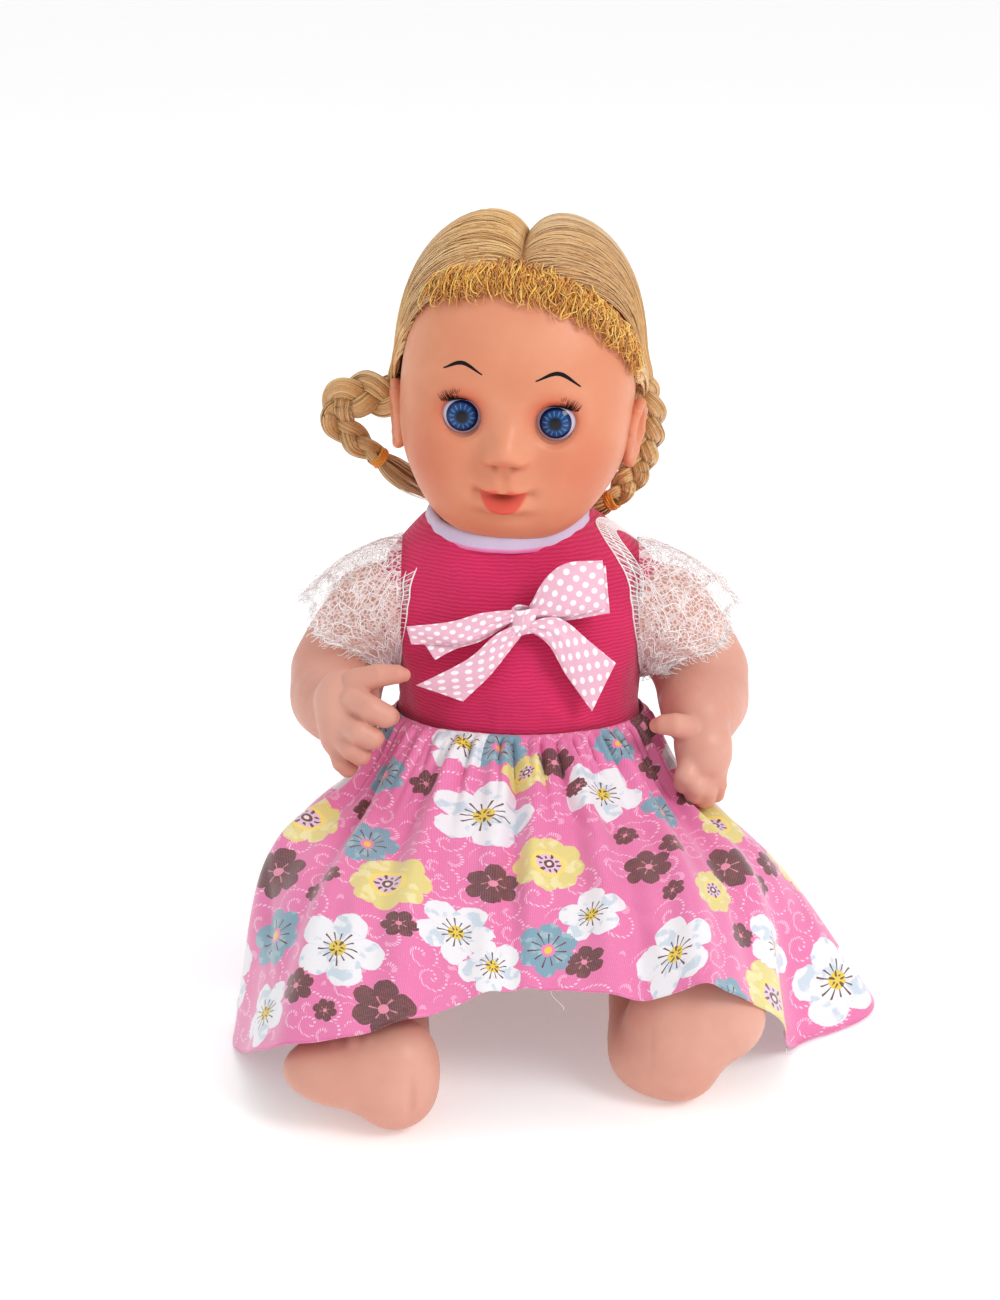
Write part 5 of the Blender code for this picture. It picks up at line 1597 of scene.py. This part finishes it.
def make_bow():
    for name, top, bottom, nodes, bulge in BOW_PIECES:
        piece, size, area = ribbon(f"bow_{name}", top, bottom, nodes, bulge)
    steps, columns = 26, 40
    turn = np.linspace(0, 2 * np.pi, columns, endpoint=False)
    h = np.linspace(-1, 1, steps)[:, None]
    wide = 3.1 + 0.9 * np.abs(h) ** 2 + 0.22 * np.sin(3 * h + 5 * turn)
    grid = np.stack([
        BOW_KNOT[0] + wide * np.sin(turn) + h, BOW_KNOT[1] - 1.6 - (2.6 - 1.1 * h**2) * np.cos(turn),
        BOW_KNOT[2] - 2 + 4.2 * h + 0.5 * np.sin(turn * 2),
    ], -1)
    flat = np.stack(np.broadcast_arrays(turn * 2.6, 4.2 * h, 0), -1).astype(float)
    knot = cloth("bow_knot_ribbon", grid[::-1], 0.5, RIBBON, around=True, cloth=flat[::-1])
    finish_piece(knot, "torso", "dotted_ribbon", "bow_knot")


# --- cloth finishes ---------------------------------------------------------


def knit_finish():
    """Pink knit with fine ribs round the body and a soft fuzz."""
    f = Finish("knit_pink", roughness=0.85)
    place = f.place()
    z = f.split(place)[2]
    sway = f.noise(place, 0.25, detail=2)
    rib = f.maths("SINE", z * (2 * math.pi / 1.15) + sway * 7.0)
    fine = f.noise(f.vector("MULTIPLY", place, (1, 1, 2.5)), 2.2, detail=3)
    cloud = f.noise(place, 0.06, detail=3)
    # The fine noise is yarn that varies; the lighter ribs and darker hollows, following the relief, are
    # painted shade.
    tone = f.mix(f.step(rib + fine * 1.0, -0.6, 1.5), rgb(200, 14, 74), rgb(220, 34, 102))
    tone = f.mix(f.step(cloud, 0.35, 0.65), f.mix(0.16, tone, rgb(130, 6, 50)), tone)
    f.set("Base Color", tone)
    f.set("Sheen Weight", 0.25)
    f.bump(rib + fine * 1.4, 0.45, 0.3)
    return f.material


def flower_finish():
    """Satin print: four kinds of flowers, chosen by the bloom attribute's third value, on dotted pink."""
    f = Finish("print_satin", roughness=0.38)
    cloth_place = f.value("cloth", "Vector")
    bloom = f.value("bloom", "Vector")
    bx, by, kind = f.split(bloom)
    radius = f.maths("SQRT", bx * bx + by * by)
    angle = f.maths("ARCTAN2", by, bx)

    # Ground: loops of white dots
    cells = {"Vector": cloth_place, "Scale": 1 / 9.5, "Randomness": 0.85}
    away = f.vector("SUBTRACT", cloth_place, f.node("TexVoronoi", cells, "Position"))
    ax, ay, _ = f.split(away)
    ar = f.vector("LENGTH", away, output="Value")
    at = f.maths("ARCTAN2", ay, ax)
    spiral = f.maths("FRACT", ar / 3.4 - at / (2 * math.pi))
    line = abs(spiral - 0.5) < 0.1
    beads = f.maths("FRACT", at * ar * 0.62) < 0.45
    dots = line * beads * (ar < 6.5)
    ground = f.mix(f.noise(cloth_place, 0.05), rgb(222, 98, 156), rgb(232, 116, 172))
    ground = f.mix(dots * 0.75, ground, rgb(252, 214, 234))

    def petals(count, deep, power=1.0):
        lobe = abs(f.maths("COSINE", angle * (count / 2)))
        lobe = f.maths("POWER", lobe, power)
        return 1 - deep + lobe * deep

    rough = (f.noise(bloom, 3.5) - 0.5) * 0.16
    shaken = radius + rough

    def inside(edge, soft=0.012):
        return f.step(edge - shaken, -soft, soft)

    def dashes(count, low, high, width):
        turn = f.maths("FRACT", angle / (2 * math.pi) * count)
        wobble = f.maths("SINE", angle * 5) * 0.05
        thin = abs(turn - 0.5) < width
        long = (radius > low) * (radius + wobble < high)
        return thin * long

    def layered(edge, petal, shade, marks):
        """petal and shade colours, then marks as (mask, colour) on top."""
        tone = f.mix(f.step(f.noise(bloom, 2.2, detail=3), 0.52, 0.6), petal, shade)
        for mask, colour in marks:
            tone = f.mix(mask, tone, colour)
        return f.mix(inside(edge), ground, tone)

    brown, gold, maroon = rgb(92, 44, 22), rgb(226, 196, 40), rgb(96, 22, 32)
    white = layered(petals(5, 0.36, 0.7), rgb(234, 232, 236), rgb(196, 210, 222), [
        (dashes(5, 0.2, 0.95, 0.012) * 0.35, rgb(196, 205, 214)),
        (dashes(13, 0.2, 0.42, 0.11), brown),
        (radius < 0.2, gold),
        (dashes(7, 0.07, 0.16, 0.25), brown),
    ])
    blue = layered(petals(6, 0.3, 0.6), rgb(112, 154, 174), rgb(146, 180, 190), [
        (dashes(11, 0.22, 0.62, 0.09), maroon),
        (radius < 0.24, rgb(232, 120, 170)),
        (radius < 0.13, gold),
    ])
    yellow = layered(petals(8, 0.17, 0.8), rgb(224, 206, 120), rgb(234, 222, 158), [
        (radius < 0.46, rgb(244, 214, 96)),
        (radius < 0.34, rgb(222, 190, 214)),
        (dashes(9, 0.2, 0.32, 0.2), maroon),
        (radius < 0.15, maroon),
        (radius < 0.07, rgb(240, 225, 210)),
    ])
    dark = layered(petals(6, 0.34, 0.6), rgb(92, 20, 30), rgb(106, 28, 36), [
        (dashes(6, 0.16, 0.42, 0.07), rgb(206, 120, 130)),
        (radius < 0.16, rgb(228, 130, 160)),
    ])
    tone = white
    for number, flower in enumerate((blue, yellow, dark)):
        tone = f.mix(kind > number + 0.5, tone, flower)

    cx, cy, _ = f.split(cloth_place)
    warp = f.maths("SINE", cx * (2 * math.pi / 0.62))
    weft = f.maths("SINE", cy * (2 * math.pi / 0.42))
    slub = f.noise(f.vector("MULTIPLY", cloth_place, (0.5, 5, 1)), 1.0, detail=3)
    weave = warp * 0.4 + (weft + slub * 1.6)
    # Painted highlight and shade: the weave's raised threads are lightened as a sheen and its low places
    # darkened.
    tone = f.mix(f.step(weave, 0.9, 2.6) * 0.22, tone, rgb(255, 246, 250))
    tone = f.mix(f.step(weave, 0.2, -1.2) * 0.14, tone, rgb(120, 30, 90))
    f.set("Base Color", tone)
    f.set("Roughness", f.step(slub, 0.2, 0.8, 0.3, 0.5))
    f.set("Sheen Weight", 0.3)
    f.bump(weave, 0.3, 0.12)
    return f.material


def satin_finish(name, light, dark, edge):
    """Satin with slubs along its threads and another colour at its edges."""
    f = Finish(name, roughness=0.36)
    place = f.value("cloth", "Vector")
    x, y, _ = f.split(place)
    thread = f.maths("SINE", x * (2 * math.pi / 0.35))
    slub = f.noise(f.vector("MULTIPLY", place, (5, 0.5, 1)), 0.8, detail=3)
    tone = f.mix(slub, dark, light)
    tone = f.mix(f.step(abs(y - 0.1), 1.7, 2.5), tone, edge)
    f.set("Base Color", tone)
    f.set("Sheen Weight", 0.3)
    f.bump(thread + slub, 0.25, 0.1)
    return f.material


def ribbon_finish():
    """Pink satin with rows of white spots, offset every other row."""
    f = Finish("dotted_ribbon", roughness=0.34)
    place = f.value("cloth", "Vector")
    x, y, _ = f.split(place)
    pitch, rise = 5.0, 2.5
    row = f.maths("FLOOR", y / rise)
    shift = f.maths("MODULO", abs(row), 2) * (pitch / 2)
    dx = f.maths("FRACT", (x + shift) / pitch) - 0.5
    dy = f.maths("FRACT", y / rise) - 0.5
    away = f.join(dx * pitch, dy * rise)
    spot = f.step(f.vector("LENGTH", away, output="Value"), 1.05, 0.92)
    slub = f.noise(f.vector("MULTIPLY", place, (5, 0.6, 1)), 0.8, detail=3)
    tone = f.mix(slub, rgb(228, 166, 190), rgb(238, 194, 210))
    tone = f.mix(spot * 0.9, tone, rgb(255, 250, 252))
    thread = f.maths("SINE", x * (2 * math.pi / 0.35))
    f.set("Base Color", tone)
    f.set("Sheen Weight", 0.35)
    f.bump(thread + slub, 0.25, 0.08)
    return f.material


def thread_finish(name, colour):
    """Twisted thread with a little fuzz."""
    f = Finish(name, roughness=0.6)
    twist = f.noise(f.place(), 4.0, detail=2)
    f.set("Base Color", f.mix(twist, colour, rgb(255, 255, 255)))
    f.bump(twist, 0.4, 0.1)
    f.set("Sheen Weight", 0.4)
    return f.material


def net_finish():
    """Sheer net: fine meshes of thread with holes that are see-through."""
    f = Finish("lace_net", roughness=0.6)
    place = f.value("cloth", "Vector")
    cells = {"Vector": place, "Scale": 0.9, "Randomness": 0.9}
    threads = f.step(f.node("TexVoronoi", cells, "Distance", feature="DISTANCE_TO_EDGE"), 0.16, 0.07)
    cloud = f.step(f.noise(place, 0.16, detail=3), 0.42, 0.7)
    cover = threads * 0.34 + cloud * 0.1
    f.set("Alpha", f.maths("MINIMUM", cover + 0.02, 1))
    f.set("Base Color", f.mix(cloud, rgb(246, 240, 240), rgb(255, 255, 255)))
    f.bump(threads, 0.4, 0.2)
    return f.material


KNIT = knit_finish()
PRINT = flower_finish()
BINDING_SATIN = satin_finish("binding_satin", rgb(214, 198, 222), rgb(196, 178, 208), rgb(232, 120, 176))
RIBBON = ribbon_finish()
THREAD = thread_finish("sewing_thread", rgb(238, 224, 240))
LACE_THREAD = thread_finish("lace_thread", rgb(248, 240, 240))
LACE_NET = net_finish()
WHITE, BLUE, YELLOW, DARK = range(4)
FLOWER_PLAN = [
    # degrees round from the front, distance down from the waist, radius, kind
    (-8, 34, 14, WHITE), (38, 26, 12, WHITE), (-40, 100, 14, WHITE), (-12, 83, 12, WHITE),
    (-2, 95, 11, WHITE), (48, 102, 14, WHITE), (-60, 122, 11, WHITE), (26, 77, 10, WHITE),
    (86, 100, 12, WHITE), (-22, 5, 10, WHITE), (-43, 53, 10, BLUE), (62, 36, 9, BLUE),
    (14, 88, 10, BLUE), (-5, 6, 8, BLUE), (56, 8, 8, BLUE), (-52, 22, 8, BLUE),
    (-31, 70, 12, YELLOW), (14, 55, 11, YELLOW), (66, 80, 10, YELLOW), (80, 118, 12, YELLOW),
    (7, 16, 7, YELLOW), (-70, 74, 9, DARK), (-3, 63, 8, DARK), (45, 63, 8, DARK), (78, 70, 9, DARK),
    (-28, 118, 10, DARK), (24, 94, 6, DARK), (20, 12, 6, DARK), (-49, 115, 6, DARK),
    (28, 24, 4, DARK), (-32, 21, 5, DARK), (-56, 36, 5, DARK), (56, 56, 5, DARK), (74, 98, 5, DARK),
    (-26, 87, 5, DARK),
]
FLOWER_TRIES = 1500
FLOWER_SIZES = [
    (WHITE, 14), (YELLOW, 11), (BLUE, 10), (DARK, 8), (DARK, 5), (WHITE, 12), (BLUE, 8), (DARK, 4)
]


def flower_table():
    """Flowers as x, y on the flat pattern, radius, kind and turn.

    Those that the plan doesn't place fill the rest of the cloth at random."""
    def place(a, d):
        turn = PATTERN_TURN * math.radians(a)
        return (d + WAIST_REACH) * math.sin(turn), -(d + WAIST_REACH) * math.cos(turn)

    table = [(*place(a, d), r, kind, 2.4 * i) for i, (a, d, r, kind) in enumerate(FLOWER_PLAN)]
    for i in range(FLOWER_TRIES):
        kind, r = FLOWER_SIZES[i * len(FLOWER_SIZES) // FLOWER_TRIES]
        a, d = RNG.uniform(-178, 178), RNG.uniform(4, 128)
        x, y = place(a, d)
        if all(math.hypot(x - u, y - v) > r + q + 1 for u, v, q, *_ in table):
            table.append((x, y, r, kind, RNG.uniform(0, 6)))
    return np.array(table, float)


FLOWERS = flower_table()


# --- the parts inside, on the back and under the dress -----------------------


def moulded_finish(name, light, dark, rough=0.5, grain=1.6):
    """Moulded plastic with flow marks, a fine spark texture and a painted highlight on its sharp edges."""
    f = Finish(name, roughness=rough)
    place = f.place()
    cloud = f.noise(place, 0.07, 3)
    spark = f.noise(place, grain, 3)
    # Painted highlight: sharp outer edges lightened towards white.
    edge_highlight = f.step(f.node("NewGeometry", output="Pointiness"), 0.51, 0.58)
    tone = f.mix(cloud, dark, light)
    f.set("Base Color", f.mix(edge_highlight * 0.35, tone, rgb(255, 250, 244)))
    f.set("Roughness", f.step(spark, 0.3, 0.7, rough - 0.08, rough + 0.08))
    f.bump(spark, 0.03, 0.5)
    return f.material


def metal_finish(name, light, dark, rough=0.3):
    """Plated steel with fine turned lines and dull patches."""
    f = Finish(name, metallic=1.0, roughness=rough)
    place = f.place()
    lines = f.noise(f.vector("MULTIPLY", place, (1.0, 1.0, 9.0)), 1.5, 3)
    f.set("Base Color", f.mix(f.noise(place, 0.3, 3), dark, light))
    f.set("Roughness", f.step(lines, 0.3, 0.7, rough - 0.1, rough + 0.14))
    f.bump(lines, 0.02, 0.4)
    return f.material


def board_finish():
    """Green circuit board with copper tracks and solder points."""
    f = Finish("circuit_board", roughness=0.42)
    x, _, z = f.split(f.place())
    tracks = []
    for a, b in ((x, z), (z, x)):
        lane = f.maths("FRACT", a / 2.4)
        thin = abs(lane - 0.5) < 0.13
        run = f.maths("SINE", b * 0.5 + f.maths("FLOOR", a)) > 0.1
        tracks.append(thin * run)
    track = f.maths("MAXIMUM", *tracks)
    tone = f.mix(track, rgb(24, 92, 48), rgb(72, 140, 84))
    points = f.node("TexVoronoi", {"Vector": f.join(x, z), "Scale": 0.33, "Randomness": 0.5}, "Distance")
    tone = f.mix(f.step(points, 0.22, 0.16), tone, rgb(196, 190, 176))
    f.set("Base Color", tone)
    f.bump(track, 0.05, 0.5)
    return f.material


def jacket_finish():
    """Printed cell jacket: a dark sleeve with a coloured band and no lettering."""
    f = Finish("battery_jacket", roughness=0.3, coat_weight=0.4)
    band = f.maths("FRACT", f.split(f.place())[2] / 19.0) < 0.3
    tone = f.mix(band, rgb(30, 34, 44), rgb(196, 140, 40))
    f.set("Base Color", f.mix(f.noise(f.place(), 0.4, 3) * 0.2, tone, rgb(120, 120, 126)))
    f.bump(f.noise(f.place(), 1.2, 2), 0.02, 0.3)
    return f.material


def paper_finish():
    """Pressed speaker paper with fibres and fine rings."""
    f = Finish("speaker_paper", roughness=0.85)
    x, _, z = f.split(f.place())
    rings = f.maths("SINE", f.vector("LENGTH", f.join(x, z), output="Value") * 5.0)
    fibre = f.noise(f.place(), 1.8, 4)
    f.set("Base Color", f.mix(fibre, rgb(40, 38, 38), rgb(72, 68, 66)))
    f.bump(rings + fibre, 0.08, 0.6)
    return f.material


def finish_cad():
    """Better materials for the CAD pieces that stay as they are."""
    plastic = moulded_finish("body_plastic", rgb(236, 176, 146), rgb(224, 160, 128))
    inner = moulded_finish("inner_plastic", rgb(236, 232, 224), rgb(214, 208, 198))
    black = moulded_finish("black_plastic", rgb(40, 40, 42), rgb(22, 22, 24), 0.42)
    button = moulded_finish("button_plastic", rgb(238, 90, 130), rgb(220, 66, 108), 0.36)
    steel = metal_finish("steel", rgb(206, 206, 208), rgb(150, 150, 154))
    by_slot = {
        "body_plastic": plastic, "inner_plastic": inner, "black_plastic": black, "button_plastic": button,
        "steel": steel, "circuit_board": board_finish(), "battery_jacket": jacket_finish(),
        "speaker_paper": paper_finish(), "hair_elastic": ELASTIC, "skin_vinyl": plastic,
    }
    for node in frame["nodes"].values():
        if node.hide_render or node.type != "MESH":
            continue
        for place in node.material_slots:
            name = (place.material.name if place.material else "").split(".")[0]
            place.link = "OBJECT"
            place.material = by_slot.get(name, inner)


make_stage()
make_head()
make_ears()
make_brows()
make_eyes()
make_combed_hair()
make_temple_hair()
make_fringe()
for braid_side in SIDES:
    make_braid(braid_side)
    make_tail(braid_side)
    make_hair_band(braid_side)
make_arms()
make_legs()
make_bodice()
make_collar()
make_skirt()
make_sleeves()
make_bow()
finish_cad()
